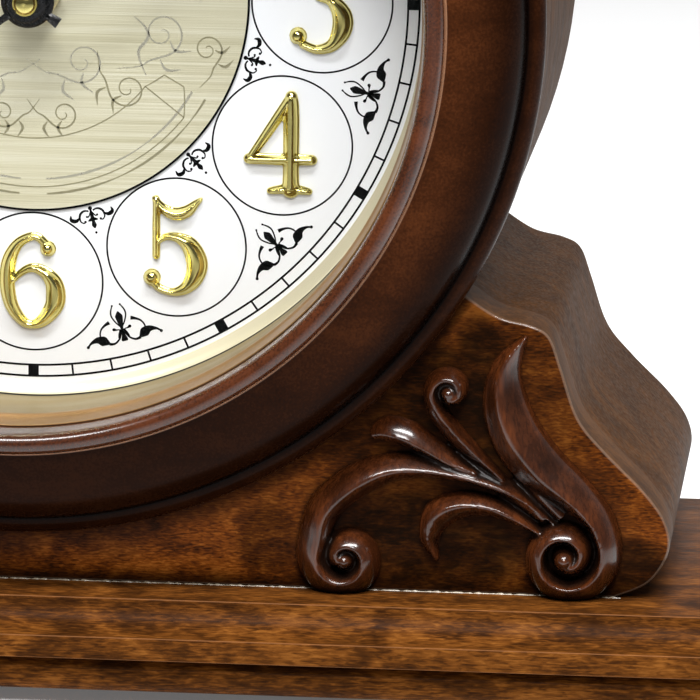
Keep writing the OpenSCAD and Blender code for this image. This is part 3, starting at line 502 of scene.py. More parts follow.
def panel_wood():
    """Mottled front veneer, with the satin side finish where the board's edge shows; painted shade darkens
    it near the bezel, along the base, in corners and round the carvings.
    """
    f = Finish("panel_wood", 0.36)
    value, fibre = grain(f, "X", 0.5, 9.0, dash=4)
    front = f.tones(value, [(0.34, (42, 19, 4)), (0.45, (84, 40, 10)), (0.54, (114, 59, 16)),
                            (0.68, (154, 90, 32))])
    cloud = f.span(f.noise((34, 34, 22), 2, 0.8, 5), 0.42, 0.66)
    front = f.mix(f.times(cloud, 0.35), front, linear((56, 28, 10)))
    # Painted shade: darker just outside the bezel, which shades the veneer there.
    ring = f.span(f.radius(), 135.6, 142.5, 0.85, 0.0)
    # Painted shade: darker just above the base.
    base_shade = f.span(f.axis("Z"), (BASE_TOP + 0.8) * MM, (BASE_TOP + 4.5) * MM, 0.8, 0.0)
    # Painted shade: darker in corners, by how open the surface is.
    corner_shade = f.span(f.corner(7), 0.45, 0.95, 0.92, 0.0)
    shade_and_glaze = f.most(f.most(ring, base_shade), f.most(corner_shade, onlay_shadow(f)))
    side_value, _ = grain(f, "Z", 1.6, 16.0, 9)
    side = f.tones(side_value, SIDE_TONES)
    squarely = f.span(f.facing("Y"), 0.5, 0.7)
    # The front taken towards near black by the painted shade and the dark glazing round the carvings.
    front = f.mix(shade_and_glaze, front, linear((12, 6, 3)))
    both = f.mix(squarely, side, front)
    # Rounded edges lighter: edge wear and a painted highlight.
    f.color(f.mix(f.times(f.stored("edge_wear_and_highlight"), 0.35), both, linear((124, 104, 88))))
    f.rough(f.math("MULTIPLY_ADD", fibre, 0.2, f.span(squarely, 0, 1, 0.42, 0.24)))
    f.feed(f.surface.inputs["Coat Weight"], f.times(f.stored("edge_wear_and_highlight"), 0.5))
    f.feed(f.surface.inputs["Specular IOR Level"], f.span(f.times(squarely, shade_and_glaze), 0, 1, 0.04, 0.015))
    f.bump(f.noise((5, 5, 3), 2, 0, 2), 0.02, f.bump(fibre, 0.025))
    return f.made


SIDE_TONES = [(0.34, (46, 26, 9)), (0.5, (60, 36, 14)), (0.66, (78, 48, 20))]


def bezel_finish():
    """Turned and glazed ring: red-brown where it is rubbed, with painted shade taking it to nearly black
    out along the slope, in its outer hollow and towards its bottom, and a painted highlight along the fine
    fillet.
    """
    f = Finish("bezel_gloss", 0.24, Coat_Roughness=0.2, Specular_IOR_Level=0.03)
    value = f.math("MULTIPLY_ADD", f.noise(0.7, 2, 0.2, 4), 0.5,
                   f.times(f.noise((20, 20, 9), 3, 0.8, 5), 0.5))
    base = f.tones(value, [(0.3, (38, 17, 6)), (0.5, (54, 26, 10)), (0.7, (72, 37, 16))])
    r = f.radius()
    # Painted shade: darker out along the slope, in the quirk's hollow and towards the bottom, which faces
    # down.
    shaded = f.span(r, 114.0, 130.0, 0.0, 0.82)
    hollow = f.times(f.span(r, 128.0, 131.5), f.span(r, 132.3, 133.6, 1.0, 0.35))
    dark = f.most(shaded, hollow)
    dark = f.times(dark, f.span(r, 133.0, 134.4, 1.0, 0.75))
    dark = f.most(dark, f.span(f.axis("Z"), (DIAL_Z - 40) * MM, (DIAL_Z - 115) * MM, 0.0, 0.72))
    base = f.mix(dark, base, linear((6, 2, 1)))
    crest = f.span(r, 112.2, 112.9, 1.0, 0.0)
    base = f.mix(f.times(crest, 0.75), base, f.tones(value, [(0.38, (48, 21, 7)), (0.62, (78, 38, 16))]))
    # Painted highlight: a pale line along the fine fillet.
    fillet = f.times(f.span(r, 111.9, 112.2), f.span(r, 112.5, 112.8, 1.0, 0.0))
    base = f.mix(f.times(fillet, 0.45), base, linear((176, 130, 98)))
    f.color(base)
    f.feed(f.surface.inputs["Coat Weight"], crest)
    f.rough(f.span(value, 0.3, 0.7, 0.2, 0.32))
    f.bump(f.noise(3, 2, 0, 1), 0.012, f.bump(value, 0.01))
    return f.made


def carved_finish():
    """Carved moulding: rubbed red-brown crests, and blackish glaze with painted shade in the hollows."""
    f = Finish("carved_gloss", 0.3, Coat_Roughness=0.17, Specular_IOR_Level=0.04)
    value, fibre = grain(f, "Z", 1.4, 14.0, 6)
    crest = f.tones(value, [(0.3, (34, 13, 4)), (0.5, (50, 22, 7)), (0.7, (74, 36, 14))])
    hollow = f.tones(value, [(0.3, (10, 5, 3)), (0.7, (24, 12, 7))])
    # Painted shade on top of the glaze: darker in hollows, by the stored relief and how open the surface
    # is.
    share = f.times(f.span(f.stored("relief"), 0.36, 0.7), f.span(f.corner(4), 0.3, 0.85, 0.15, 1.0))
    f.feed(f.surface.inputs["Coat Weight"], f.span(share, 0.1, 0.6, 0.12, 0.95))
    f.color(f.mix(share, hollow, crest))
    f.rough(f.span(fibre, 0.3, 0.7, 0.24, 0.4))
    f.bump(f.noise(2.2, 3, 0.3, 2), 0.02)
    return f.made


def metal(name, rgb, rough, scale=6, tint=0.88, bump=0.004, edge_wear_and_highlight=None, metallic=1.0):
    f = Finish(name, rough, metallic)
    cloud = f.noise(scale, 4, 0.3)
    darker = tuple(int(c * tint) for c in rgb)
    base = f.tones(cloud, [(0.35, darker), (0.65, rgb)])
    # Rounded edges lighter: edge wear and a painted highlight.
    if edge_wear_and_highlight:
        base = f.mix(f.times(f.stored("edge_wear_and_highlight"), 0.6), base, linear(edge_wear_and_highlight))
    f.color(base)
    f.rough(f.span(cloud, 0.3, 0.7, rough * 1.3, rough * 0.8))
    f.bump(cloud, bump)
    return f.made


def rehaut_finish(name, flange, wall, lines):
    """Satin brass wall, bright next to the dial; lines are (depth, half width) of its dark joints."""
    f = Finish(name, 0.34, 0.35, Specular_IOR_Level=0.15)
    depth = f.times(f.math("SUBTRACT", DIAL_Y * MM, f.axis("Y")), 1 / MM)
    cloud = f.noise((40, 6, 40), 2, 0.2)
    clouded = f.tones(cloud, [(0.35, tuple(int(c * 0.9) for c in wall)), (0.65, wall)])
    base = f.mix(f.span(depth, 2.8, 3.4), linear(flange), clouded)
    for at, half in lines:
        off = f.math("ABSOLUTE", f.math("SUBTRACT", depth, at))
        inked = f.span(off, half, half * 1.6, 1.0, 0.0)
        base = f.mix(inked, base, linear((16, 12, 6)))
        f.feed(f.surface.inputs["Metallic"], f.math("MULTIPLY_ADD", inked, -0.35, 0.35))
    f.color(base)
    f.rough(f.span(cloud, 0.3, 0.7, 0.3, 0.4))
    return f.made


def brushed_disc():
    """Pale brass brushed from side to side."""
    f = Finish("brushed_brass", 0.36, 0.5)
    fine = f.noise((60, 0.2, 0.2), 3, 0, 1)
    wide = f.noise((140, 2.4, 2.4), 2, 0, 2)
    line = f.math("MULTIPLY_ADD", wide, 0.4, f.times(fine, 0.6))
    f.color(f.tones(line, [(0.35, (206, 200, 164)), (0.5, (231, 226, 194)), (0.66, (248, 246, 224))]))
    f.rough(f.span(fine, 0.35, 0.65, 0.28, 0.46))
    f.bump(fine, 0.01)
    return f.made


def plastic(name, rgb, rough=0.42, speck=0.5, bump=0.02, **sockets):
    f = Finish(name, rough, **sockets)
    fine = f.noise(speck, 2)
    cloud = f.noise(18, 2, 0.4)
    f.color(f.tones(cloud, [(at, tuple(min(255, int(c * k)) for c in rgb))
                            for at, k in ((0.35, 0.86), (0.65, 1.08))]))
    f.rough(f.span(fine, 0.3, 0.7, rough * 0.85, rough * 1.2))
    f.bump(fine, bump)
    return f.made


def enamel():
    f = Finish("dial_enamel", 0.24, Coat_Weight=0.3, Coat_Roughness=0.06)
    cloud = f.noise(30, 2)
    f.color(f.tones(cloud, [(0.3, (248, 251, 254)), (0.7, (252, 254, 255))]))
    f.bump(f.noise(1.2, 2), 0.003)
    return f.made


def window_glass():
    f = Finish("clock_glass", 0.0, Alpha=0.07, IOR=1.45)
    cloud = f.noise(40, 1)
    f.color(f.tones(cloud, [(0.3, (6, 12, 10)), (0.7, (9, 16, 14))]))
    return f.made


def paper_cone():
    f = Finish("cone_paper", 0.85)
    fibre = f.noise(0.8, 4, 1.0)
    f.color(f.tones(fibre, [(0.3, (24, 23, 22)), (0.7, (52, 49, 46))]))
    f.bump(fibre, 0.08)
    return f.made


def printed_board():
    f = Finish("board_green", 0.3, Coat_Weight=0.3)
    weave = f.noise(0.7, 2)
    tracks = f.span(f.noise((9, 9, 1.4), 1, 0.2), 0.49, 0.51)
    f.color(f.mix(f.times(tracks, 0.5), f.tones(weave, [(0.3, (16, 62, 34)), (0.7, (26, 84, 46))]),
                  linear((58, 118, 62))))
    f.bump(tracks, 0.03)
    return f.made


def wound_copper():
    f = Finish("copper_winding", 0.3, 0.9)
    turn = f.add("ShaderNodeTexWave", (("Scale", 500.0), ("Vector", f.where)), wave_type="BANDS",
                 bands_direction="X").outputs["Fac"]
    f.color(f.tones(turn, [(0.2, (104, 44, 22)), (0.8, (196, 104, 58))]))
    f.bump(turn, 0.08)
    return f.made


def cell_label():
    """Plain battery jacket: a dark body and a coppery band at its positive end, with no print."""
    f = Finish("cell_jacket", 0.3, 0.55, Coat_Weight=0.4)
    band = f.span(f.axis("X"), 13 * MM, 13.4 * MM)
    scuff = f.noise(3, 4, 0.4)
    body = f.tones(scuff, [(0.3, (26, 28, 32)), (0.7, (44, 47, 52))])
    f.color(f.mix(band, body, linear((176, 118, 66))))
    f.rough(f.span(scuff, 0.3, 0.7, 0.22, 0.42))
    f.bump(scuff, 0.01)
    return f.made


WOOD_SIDE = stained_wood("side_wood", SIDE_TONES, 0.5, 0.0, "Z", 1.6, 16.0, (122, 84, 56), 9)
LOOKS = {
    "case_wood": WOOD_SIDE,
    "bezel_wood": bezel_finish(),
    "carved_wood": carved_finish(),
    "base_wood": stained_wood("base_wood", [(0.34, (38, 19, 6)), (0.46, (58, 31, 9)), (0.56, (84, 47, 15)),
                                            (0.7, (112, 68, 26))],
                              0.36, 0.0, "X", 0.7, 12.0, (126, 84, 52), 12, dash=5),
    "raw_wood": stained_wood("raw_wood", [(0.3, (150, 116, 76)), (0.5, (186, 150, 104)),
                                          (0.7, (212, 180, 134))],
                             0.7, 0.0, "X", 1.0, 14.0, (216, 190, 148), 15, 0.06),
    "back_wood": stained_wood("back_wood", [(0.3, (54, 34, 22)), (0.5, (78, 50, 32)), (0.7, (100, 68, 44))],
                              0.5, 0.05, "X", 0.8, 12.0, (124, 90, 62), 18, 0.05),
    "brass": metal("brass", (210, 196, 150), 0.3, 14, 0.94, 0.0, (240, 226, 176), 0.7),
    "gold_numeral": metal("gold_plate", (228, 215, 132), 0.14, 9, 0.95, 0.0),
    "brushed_brass": brushed_disc(),
    "steel": metal("steel", (176, 178, 182), 0.28, 3, 0.82, 0.008, (220, 221, 224)),
    "glass": window_glass(),
    "dial_white": enamel(),
    "hand_black": plastic("hand_lacquer", (14, 14, 16), 0.24, 0.8, 0.004),
    "movement_plastic": plastic("movement_plastic", (34, 35, 38), 0.46, 0.5, 0.03),
    "gear_plastic": plastic("gear_plastic", (222, 220, 208), 0.36),
    "board": printed_board(),
    "copper": wound_copper(),
    "cell": cell_label(),
    "magnet_metal": metal("magnet_metal", (118, 118, 122), 0.42, 1.5, 0.75, 0.02),
    "cone_paper": paper_cone(),
    "rubber": plastic("foot_rubber", (30, 30, 31), 0.72, 0.35, 0.05),
    "lead": plastic("lead_sleeve", (46, 46, 48), 0.5, 0.6, 0.02),
}
PANEL = panel_wood()
INK = plastic("dial_ink", (4, 4, 5), 0.5, 0.3, 0.002, Specular_IOR_Level=0.08)
PALE_LINE = metal("engraved_pale", (246, 242, 216), 0.3, 2, 0.94)
DARK_LINE = metal("engraved_dark", (204, 197, 160), 0.4, 2, 0.9)


# ---- case and base ----

# CAD nodes by how far their edges are rounded, in millimetres
ROUNDED = {
    0.9: "base_board",
    0.8: "arch_shell side_shell_left side_shell_right",
    0.7: "base_plinth back_door",
    0.6: "bottom_board glue_blocks magnet_catch batteries",
    0.5: "dial_spacer dial_backboard movement_front motor_housing speaker_magnet",
    0.4: "movement_rear",
    0.35: "back_panel rubber_feet",
    0.25: "base_screws bush_nut battery_cover glass",
    0.22: "hinge_frame_leaves hinge_door_leaves",
    0.2: "foot_screws dial_plate set_knob motor_coil speaker_frame train_plate",
    0.15: "back_screws strike_plate hand_cap circuit_board chime_selector volume_slider",
    0.12: "hinge_pins door_knob speaker_screws dial_screws",
    0.1: "hinge_frame_screws hinge_door_screws movement_screws speaker_cone",
    0.08: "battery_contacts",
}
JOINT_Y = high("front_panel").y
refined("front_panel", PANEL, 0.7, 4, joint_y=JOINT_Y)
for radius, names in ROUNDED.items():
    for node_name in names.split():
        seam_y = JOINT_Y if "shell" in node_name else None
        refined(node_name, LOOKS[SLOT[node_name]], radius, joint_y=seam_y)
for node_name in ("centre_arbor", "hour_wheel", "motion_wheel", "third_wheel", "dial_disc", "speaker_lead"):
    dress(NODES[node_name].data, LOOKS[SLOT[node_name]])


# ---- bezel and window ----

def bezel():
    """Outer bead, quirk, long ogee slope, fine fillet and inner roll of the turned ring."""
    shells = Shells()
    slope = curve([(132.0, 9.8), (130.2, 14.0), (126.4, 17.4), (121.0, 19.6), (116.0, 21.0),
                   (112.5, 21.9)], 5)
    profile = [(BORE_R, 0.2), (BEZEL_R - 0.5, 0.0), *arc(131.0, 4.6, BEZEL_R - 131.0, 4.9, -62, 62, 14),
               (132.6, 9.1), (132.2, 9.2), *[tuple(p) for p in slope], (112.3, 22.2),
               *arc(109.5, 22.3, 2.7, 3.1, 8, 172, 18), (BORE_R + 0.05, 20.6), (BORE_R, 19.0),
               (BORE_R, 5.5)]
    shells.lathe(profile, 320)
    piece("turned_bezel", shells, FACE_Y, LOOKS["bezel_wood"], "bezel_ring", sharp=28)


def window():
    """Brass chapter wall behind the glass, and the brass retaining ring in front of it."""
    wall = Shells()
    rear = PANEL_TO_DIAL
    front = FACE_Y - GLASS_Y - 2.1
    wall.lathe([(102.8, 0.1 - rear), (107.3, 0.1 - rear), (107.3, front), (106.1, front),
                (106.1, front - 0.5), (106.3, front - 0.8), (106.1, front - 1.1), (106.1, 3.7 - rear),
                (106.3, 3.4 - rear), (106.1, 3.1 - rear), (105.9, 2.4 - rear), (105.3, 1.8 - rear),
                (104.2, 1.1 - rear), (103.2, 0.6 - rear), (102.8, 0.35 - rear)], 256)
    look = rehaut_finish("rehaut_brass", (214, 206, 176), (124, 106, 68),
                         [(3.5, 0.7), (rear + front - 0.7, 1.0)])
    piece("dial_rehaut", wall, FACE_Y, look, "rehaut", sharp=30)
    ring = Shells()
    glass_front = FACE_Y - GLASS_Y
    ring.lathe([(r, glass_front + h) for r, h in (
        (104.95, 0.05), (106.75, 0.05), (106.75, 8.2), (106.65, 8.4), (106.45, 8.45), (106.3, 8.3),
        (106.1, 6.6), (105.8, 4.4), (105.5, 2.6), (105.35, 2.2), (105.1, 1.7), (104.95, 1.2))], 256)
    look = rehaut_finish("ring_brass", (128, 98, 62), (128, 98, 62), [])
    piece("window_ring", ring, FACE_Y, look, "glass_ring", sharp=30)


def pale_joint_line():
    """Pale, uneven bead in the corner where the panel stands on the base."""
    shells = Shells()
    half = 158.0
    floor_f = BASE_TOP - DIAL_Z
    rows = []
    for x in np.linspace(-half, half, 420):
        swell = 0.14 + 0.1 * sin(x * 1.7) * sin(x * 0.61) + 0.05 * sin(x * 5.3)
        rows.append([(x, floor_f, 0.0), (x, floor_f, swell * 1.5), (x, floor_f + swell * 0.8, swell * 1.1),
                     (x, floor_f + swell * 1.6, 0.0)])
    shells.strip(rows, False)
    joint_bead = plastic("pale_joint_bead", (128, 116, 98), 0.3, 0.6, 0.05)
    piece("pale_joint_line", shells, FACE_Y, joint_bead, body="case")


bezel()
window()
pale_joint_line()


# ---- carved onlays ----

def limb_section(row):
    """Ridged cross-section: row is x, z, half width, height, crest place, roundness, hollow of one side."""
    _, _, half, height, crest, roundness, hollow = row
    points = [(half, -0.35), (half, 0.3)]
    for t in np.linspace(1, -1, 17)[1:-1]:
        s = (t - crest) / (1 - crest) if t > crest else (crest - t) / (1 + crest)
        h = roundness * sqrt(max(0.0, 1 - s ** 1.7)) + (1 - roundness) * (1 - s)
        if t < crest:
            h += hollow * ((1 - s) ** 1.8 + 0.25 * (s > 0.8) - h)
        points.append((half * t, max(0.35, height * h)))
    return points + [(-half, 0.3), (-half, -0.35)]


# Rows for limb_section along each limb, and the first four values of the webs that fill the valleys
LIMBS = {
    "main": [(140.4, -130.6, 0.6, 3.6, 0, 0.5, 0), (131, -123.2, 2.4, 5.0, 0.2, 0.5, 0.2),
        (120, -119, 2.5, 5.6, 0.2, 0.5, 0.2), (108.5, -117, 3.2, 6.2, 0.1, 0.55, 0.1),
        (98, -117.4, 4.0, 7.0, 0.05, 0.6, 0), (88.4, -121.6, 4.6, 7.6, 0.1, 0.7, 0),
        (80.6, -128.6, 4.6, 8.0, 0.2, 0.75, 0), *spiral(86.2, -141.4, (9.4, 2.4), (152, 572), (4.4, 2.2),
        (8.0, 7.0), (0.35, 0.35), (0.8, 0.8), (0, 0))],
    "leaf": [(132.6, -81.6, 0.5, 3.0, -0.3, 0.5, 0), (127.6, -90, 4.0, 5.6, -0.3, 0.6, 0.2),
        (127.2, -99, 6.0, 6.8, -0.25, 0.65, 0.3), (130.6, -108.4, 7.0, 7.8, -0.14, 0.75, 0.15),
        (137, -116.4, 6.8, 8.3, -0.16, 0.62, 0.15), (145.2, -122.6, 5.4, 8.4, -0.26, 0.62, 0.15),
        (151.6, -128.8, 4.2, 8.4, -0.4, 0.7, 0.2), *spiral(143.8, -139.2, (11.4, 2.8), (16, -454),
        (3.6, 2.2), (8.3, 7.2), (-0.55, -0.3), (0.85, 0.8), (0.3, 0), n=14)],
    "curl": [(127, -119.6, 1.2, 3.8, -0.2, 0.5, 0), (116.2, -110, 2.6, 5.2, -0.35, 0.6, 0.2),
        (110.5, -103.2, 2.7, 6.2, -0.35, 0.7, 0.2), *spiral(112.9, -96.4, (5.0, 1.6), (200, -100),
        (2.5, 2.0), (6.9, 7.2), (-0.2, 0), (0.8, 0.9), (0.1, 0), n=8)],
    "short": [(92.6, -108.6, 1.4, 3.4, -0.2, 0.8, 0), (96.4, -107.2, 3.4, 5.2, -0.25, 0.75, 0.1),
        (102, -108.2, 3.6, 6.0, -0.3, 0.7, 0.15), (108, -111.4, 3.0, 5.8, -0.3, 0.6, 0.2),
        (114, -115.0, 2.2, 5.2, -0.3, 0.55, 0.2), (120, -117.8, 1.2, 4.6, 0, 0.5, 0)],
    "hook": [(110.2, -141.6, 0.6, 2.6, 0, 0.7, 0), (108.0, -135.8, 2.8, 5.0, 0.1, 0.75, 0),
        (110.2, -129.8, 4.2, 6.4, 0.2, 0.7, 0), (116, -126.8, 3.7, 6.6, 0.2, 0.65, 0),
        (123, -126.7, 3.0, 6.0, 0.1, 0.6, 0), (130, -129.2, 2.3, 5.6, 0, 0.55, 0),
        (136.6, -133.0, 1.3, 4.9, 0, 0.5, 0)],
}
WEBS = [
    [(114, -114.8, 1.0, 2.0), (119, -117.2, 2.0, 2.8), (125, -120.4, 2.6, 3.4), (131, -124.0, 2.4, 3.8),
     (138, -129.6, 1.6, 4.0)],
    [(130.2, -116.0, 0.8, 2.2), (133.4, -119.4, 2.0, 3.4), (137.6, -123.8, 2.4, 4.2),
     (142.6, -128.8, 2.0, 4.4)],
]
# The balls in the volutes: x, z, radius, height
EYES = [(86.2, -141.8, 3.1, 7.6), (143.4, -139.8, 3.6, 8.0), (112.9, -96.6, 2.9, 7.5)]
ONLAY_FLOOR = 0.25 - (DIAL_Z - BASE_TOP)


def onlay(side):
    """The carving on the right, side = 1, or its mirror image, side = -1."""
    shells = Shells()
    for rows in [*LIMBS.values(), *([(*row, 0, 0.9, 0) for row in web] for web in WEBS)]:
        path = curve(rows, 6)
        start = len(shells.points)
        shells.sweep(path, limb_section)
        shells.points[start:] = [(x, max(z, ONLAY_FLOOR), f) for x, z, f in shells.points[start:]]
    for x, z, r, h in EYES:
        shells.dome(x, z, r, -0.3, h + 0.3)
    shells.points = [(side * x, z, f) for x, z, f in shells.points]
    name = "onlay_right" if side > 0 else "onlay_left"
    skin = voxel(name, shells, FACE_Y, ONLAY_VOXEL)
    skin.name = "carved_" + name
    Surface(skin).soften_hollows(10, 14)
    made = placed("carved_" + name, skin, LOOKS["carved_wood"], name, sharp=80)
    Surface(made.data).store_relief(26)


for side in (1, -1):
    onlay(side)


# ---- numerals ----

NUMERAL_H = 2.6
SERIF = [(-4.6, -12.2, 0.7), (-2.4, -11.9, 1.0), (0, -11.7, 1.1), (2.4, -11.9, 1.0), (4.6, -12.2, 0.7)]
# Each digit: strokes of (x, z, half width), and balls of (x, z, radius)
DIGITS = {
    1: ([[(0, 11.8, 1.7), (0, 0, 1.9), (0, -11.6, 1.9)], [(-4.6, 7.4, 0.6), (-2.6, 8.9, 1.1),
        (-0.4, 11.8, 1.3)], SERIF], []),
    2: ([[(-5.8, 8.2, 1.0), (-4.0, 11.2, 1.2), (-0.4, 12.2, 1.2), (3.4, 10.8, 2.0), (5.0, 7.0, 2.5),
        (3.6, 2.4, 2.1), (0.2, -2.2, 1.5), (-3.6, -6.6, 1.1), (-6.2, -11.0, 0.9)], [(-6.2, -11.0, 1.0),
        (-3.2, -10.3, 1.6), (0.8, -11.4, 2.0), (4.2, -11.8, 1.5), (6.3, -9.6, 0.8), (6.8, -7.6, 0.5)]],
        [(-5.2, 7.4, 2.0)]),
    3: ([[(-5.0, 9.6, 1.0), (-2.6, 12.0, 1.1), (0.8, 12.1, 1.4), (3.8, 9.8, 2.2), (4.2, 6.4, 2.2),
        (2.2, 2.8, 1.4), (-0.8, 1.5, 0.8)], [(-0.8, 1.5, 0.8), (3.0, 0.6, 1.5), (5.6, -3.0, 2.5),
        (5.6, -7.0, 2.5), (3.2, -11.0, 1.6), (-0.8, -12.3, 1.1), (-4.6, -11.0, 1.0)]], [(-4.8, 8.8, 1.9),
        (-5.8, -8.8, 2.0)]),
    4: ([[(2.7, 12.8, 1.6), (2.7, 8, 2.0), (2.7, -8, 2.0), (2.7, -11.6, 2.4)], [(-8.5, -3.8, 1.3),
        (0, -3.8, 1.4), (8.3, -3.8, 1.3)], [(-8.1, -3.6, 0.9), (-3.0, 4.0, 1.2), (2.2, 12.0, 1.3)],
        [(-2.8, -12.2, 0.8), (0, -11.8, 1.1), (2.6, -11.6, 1.2), (5.0, -11.8, 1.1), (7.6, -12.2, 0.8)]],
        []),
    5: ([[(-5.6, 12.6, 0.7), (-3.2, 9.9, 1.2), (0, 8.6, 1.6), (3.0, 9.4, 1.5), (5.2, 11.4, 0.9),
        (6.7, 12.7, 0.4)], [(-5.1, 12.6, 0.8), (-5.1, 5, 0.9), (-5.1, -2.8, 0.9)], [(-4.6, 1.0, 0.5),
        (-2.6, 2.4, 0.8), (0.6, 2.3, 1.2), (3.8, 0.2, 2.2), (5.7, -4.2, 2.7), (5.0, -8.2, 2.3),
        (2.6, -11.2, 1.5), (-0.8, -12.3, 0.9), (-4.4, -11.2, 0.9), (-6.0, -9.4, 0.9)]],
        [(-6.2, -8.5, 2.0)]),
    6: ([[(3.4, 9.6, 1.0), (1.5, 11.4, 1.0), (-0.6, 11.7, 1.0), (-4.1, 9.6, 1.3), (-6.4, 5.2, 1.8),
        (-7.0, -0.6, 1.9), (-6.0, -6.4, 1.7), (-3.3, -10.6, 1.3), (-0.4, -12.0, 1.0), (2.7, -10.6, 1.6),
        (5.4, -7.0, 2.3), (6.0, -4.0, 2.5), (5.4, -0.6, 2.2), (3.1, 2.1, 1.5), (-0.2, 3.3, 1.1),
        (-3.3, 1.9, 0.8), (-6.0, -1.0, 0.5)]], [(3.9, 8.5, 1.8)]),
    7: ([[(-6.6, 8.2, 0.6), (-6.2, 10.8, 1.0), (-3.0, 11.9, 1.7), (1.0, 10.9, 1.9), (4.6, 11.0, 1.4),
        (6.8, 12.2, 0.8)], [(6.4, 11.6, 0.8), (4.0, 6.4, 1.2), (1.2, 0.6, 1.7), (-0.8, -5.6, 2.2),
        (-1.2, -12.0, 2.3)]], []),
    8: ([[(0, 12.1, 1.0), (-3.2, 10.8, 1.6), (-4.2, 7.2, 1.9), (-2.4, 3.4, 1.6), (2.4, -0.4, 1.6),
        (5.4, -4.6, 2.2), (4.8, -9.6, 2.0), (0, -12.0, 1.1), (-4.8, -9.8, 1.9), (-5.4, -5.4, 2.0),
        (-3.0, -1.2, 1.5), (2.2, 2.8, 1.4), (4.0, 6.8, 1.7), (3.2, 10.6, 1.5), (0, 12.1, 1.0)]], []),
    0: ([[(0, 12.0, 1.0), (-3.6, 9.6, 1.7), (-5.0, 4.0, 2.4), (-5.0, -4.0, 2.4), (-3.6, -9.6, 1.7),
        (0, -12.0, 1.0), (3.6, -9.6, 1.7), (5.0, -4.0, 2.4), (5.0, 4.0, 2.4), (3.6, 9.6, 1.7),
        (0, 12.0, 1.0)]], []),
}


def stroke_section(row):
    """A gilt stroke: thin flange, steep sides and a ridged top."""
    w = row[2]
    core = max(w - 0.45, 0.25)
    top = min(NUMERAL_H, 1.25 + 1.1 * core)
    side = [(w + 0.15, 0.0), (w + 0.15, 0.45), (w - 0.05, 0.7), (core + 0.05, 0.85), (core - 0.1, 1.35),
            (core * 0.45, top - 0.25)]
    return side + [(0, top)] + [(-u, f) for u, f in side[::-1]]


def digit(shells, d, x0, z0, stretch):
    turn = -1 if d == 9 else 1
    strokes, balls = DIGITS[6 if d == 9 else d]
    for rows in strokes:
        path = curve([(x0 + turn * x * stretch, z0 + turn * z, w) for x, z, w in rows], 7)
        shells.sweep(path, stroke_section)
        for x, z, w in (path[0], path[-1]):
            shells.dome(x, z, w + 0.12, 0, 0.8 + 0.5 * w)
    for x, z, r in balls:
        shells.dome(x0 + turn * x * stretch, z0 + turn * z, r + 0.5, 0, 0.75)
        shells.dome(x0 + turn * x * stretch, z0 + turn * z, r, 0.3, NUMERAL_H - 0.35)


def numerals():
    """The twelve gilt numerals, all upright; each stands for the CAD node."""
    for n in range(1, 13):
        x, z = NUMERAL_RING_R * sin(radians(30 * n)), NUMERAL_RING_R * cos(radians(30 * n))
        shells = Shells()
        if n < 10:
            digit(shells, n, x, z, 1.0)
        else:
            digit(shells, 1, x - 7.4, z, 0.72)
            digit(shells, n - 10, x + (4.9 if n != 11 else 5.4), z, 0.82 if n != 11 else 0.72)
        skin = voxel(f"numeral_{n}", shells, DIAL_Y, NUMERAL_VOXEL)
        placed(f"numeral_{n}", skin, LOOKS["gold_numeral"], "numerals", sharp=80)


numerals()


# ---- dial print ----


def printed(shells, rows):
    """A printed stroke; ink spreads a little past each half width."""
    shells.ribbon(curve([(x, z, 1.2 * w + 0.05) for x, z, w in rows], 6), PRINT_F)


def draw(shells, motif):
    """Prints a motif's strokes, which are lists of points, and dots, which are (x, z, radius)."""
    for item in motif:
        if isinstance(item, list):
            printed(shells, item)
        else:
            shells.disc(*item, PRINT_F)


def both_sides(shells, motif):
    """Draws a motif and its mirror image."""
    half = Shells()
    draw(half, motif)
    shells.join(half)
    other = Shells()
    other.add([(-x, z, f) for x, z, f in half.points], half.faces)
    shells.join(other)


def ink_piece(name, shells):
    piece(name, shells, DIAL_Y, INK, body="case")


def minute_track():
    shells = Shells()
    for r in TRACK_R:
        shells.ring(0, 0, r - 0.28, r + 0.28, PRINT_F, 360)
    for minute in range(60):
        a = radians(6 * minute)
        half = 1.4 if minute % 5 == 0 else 0.27
        x, z = sin(a), cos(a)
        bar = [(98.3 * x, 98.3 * z, half), (101.7 * x, 101.7 * z, half)]
        shells.ribbon(bar, PRINT_F + 0.002)
    ink_piece("minute_track", shells)


def numeral_circles():
    shells = Shells()
    for n in range(12):
        a = radians(30 * n)
        shells.ring(CIRCLE_RING_R * sin(a), CIRCLE_RING_R * cos(a), *CIRCLE_R, PRINT_F, 120)
    shells.ring(0, 0, *CENTRE_R, PRINT_F + 0.4, 256)
    ink_piece("numeral_circles", shells)


OUTER_FLEUR = [
    [(2.2, 0.0, 0.35), (1.5, 0.25, 0.12), (0.78, 0.4, 0.1), (0.65, 1.44, 0.13), (1.38, 2.79, 0.16),
     (2.82, 3.71, 0.2), (4.31, 3.53, 0.3)],
    (2.2, 0.0, 0.42),
    [(0.3, -0.4, 0.1), (1.2, -1.7, 0.12), (1.95, -3.5, 0.13), (1.8, -4.9, 0.14), (1.1, -6.3, 0.08)],
    (1.1, -6.3, 0.28),
    [(2.93, -2.14, 0.4), (4.26, -1.65, 0.24), (5.49, -0.78, 0.16), (6.14, 0.65, 0.14),
     (5.88, 1.96, 0.12), (5.2, 3.0, 0.1)],
    [(4.18, 3.4, 0.2), (4.9, 2.9, 0.7), (5.75, 2.35, 1.05), (7.18, 1.8, 0.65), (8.96, 2.2, 0.25),
     (10.06, 3.1, 0.16)],
    (10.06, 3.1, 0.42),
    [(0.1, 0.6, 0.5), (0.9, 1.5, 0.32), (1.5, 2.6, 0.1)],
]
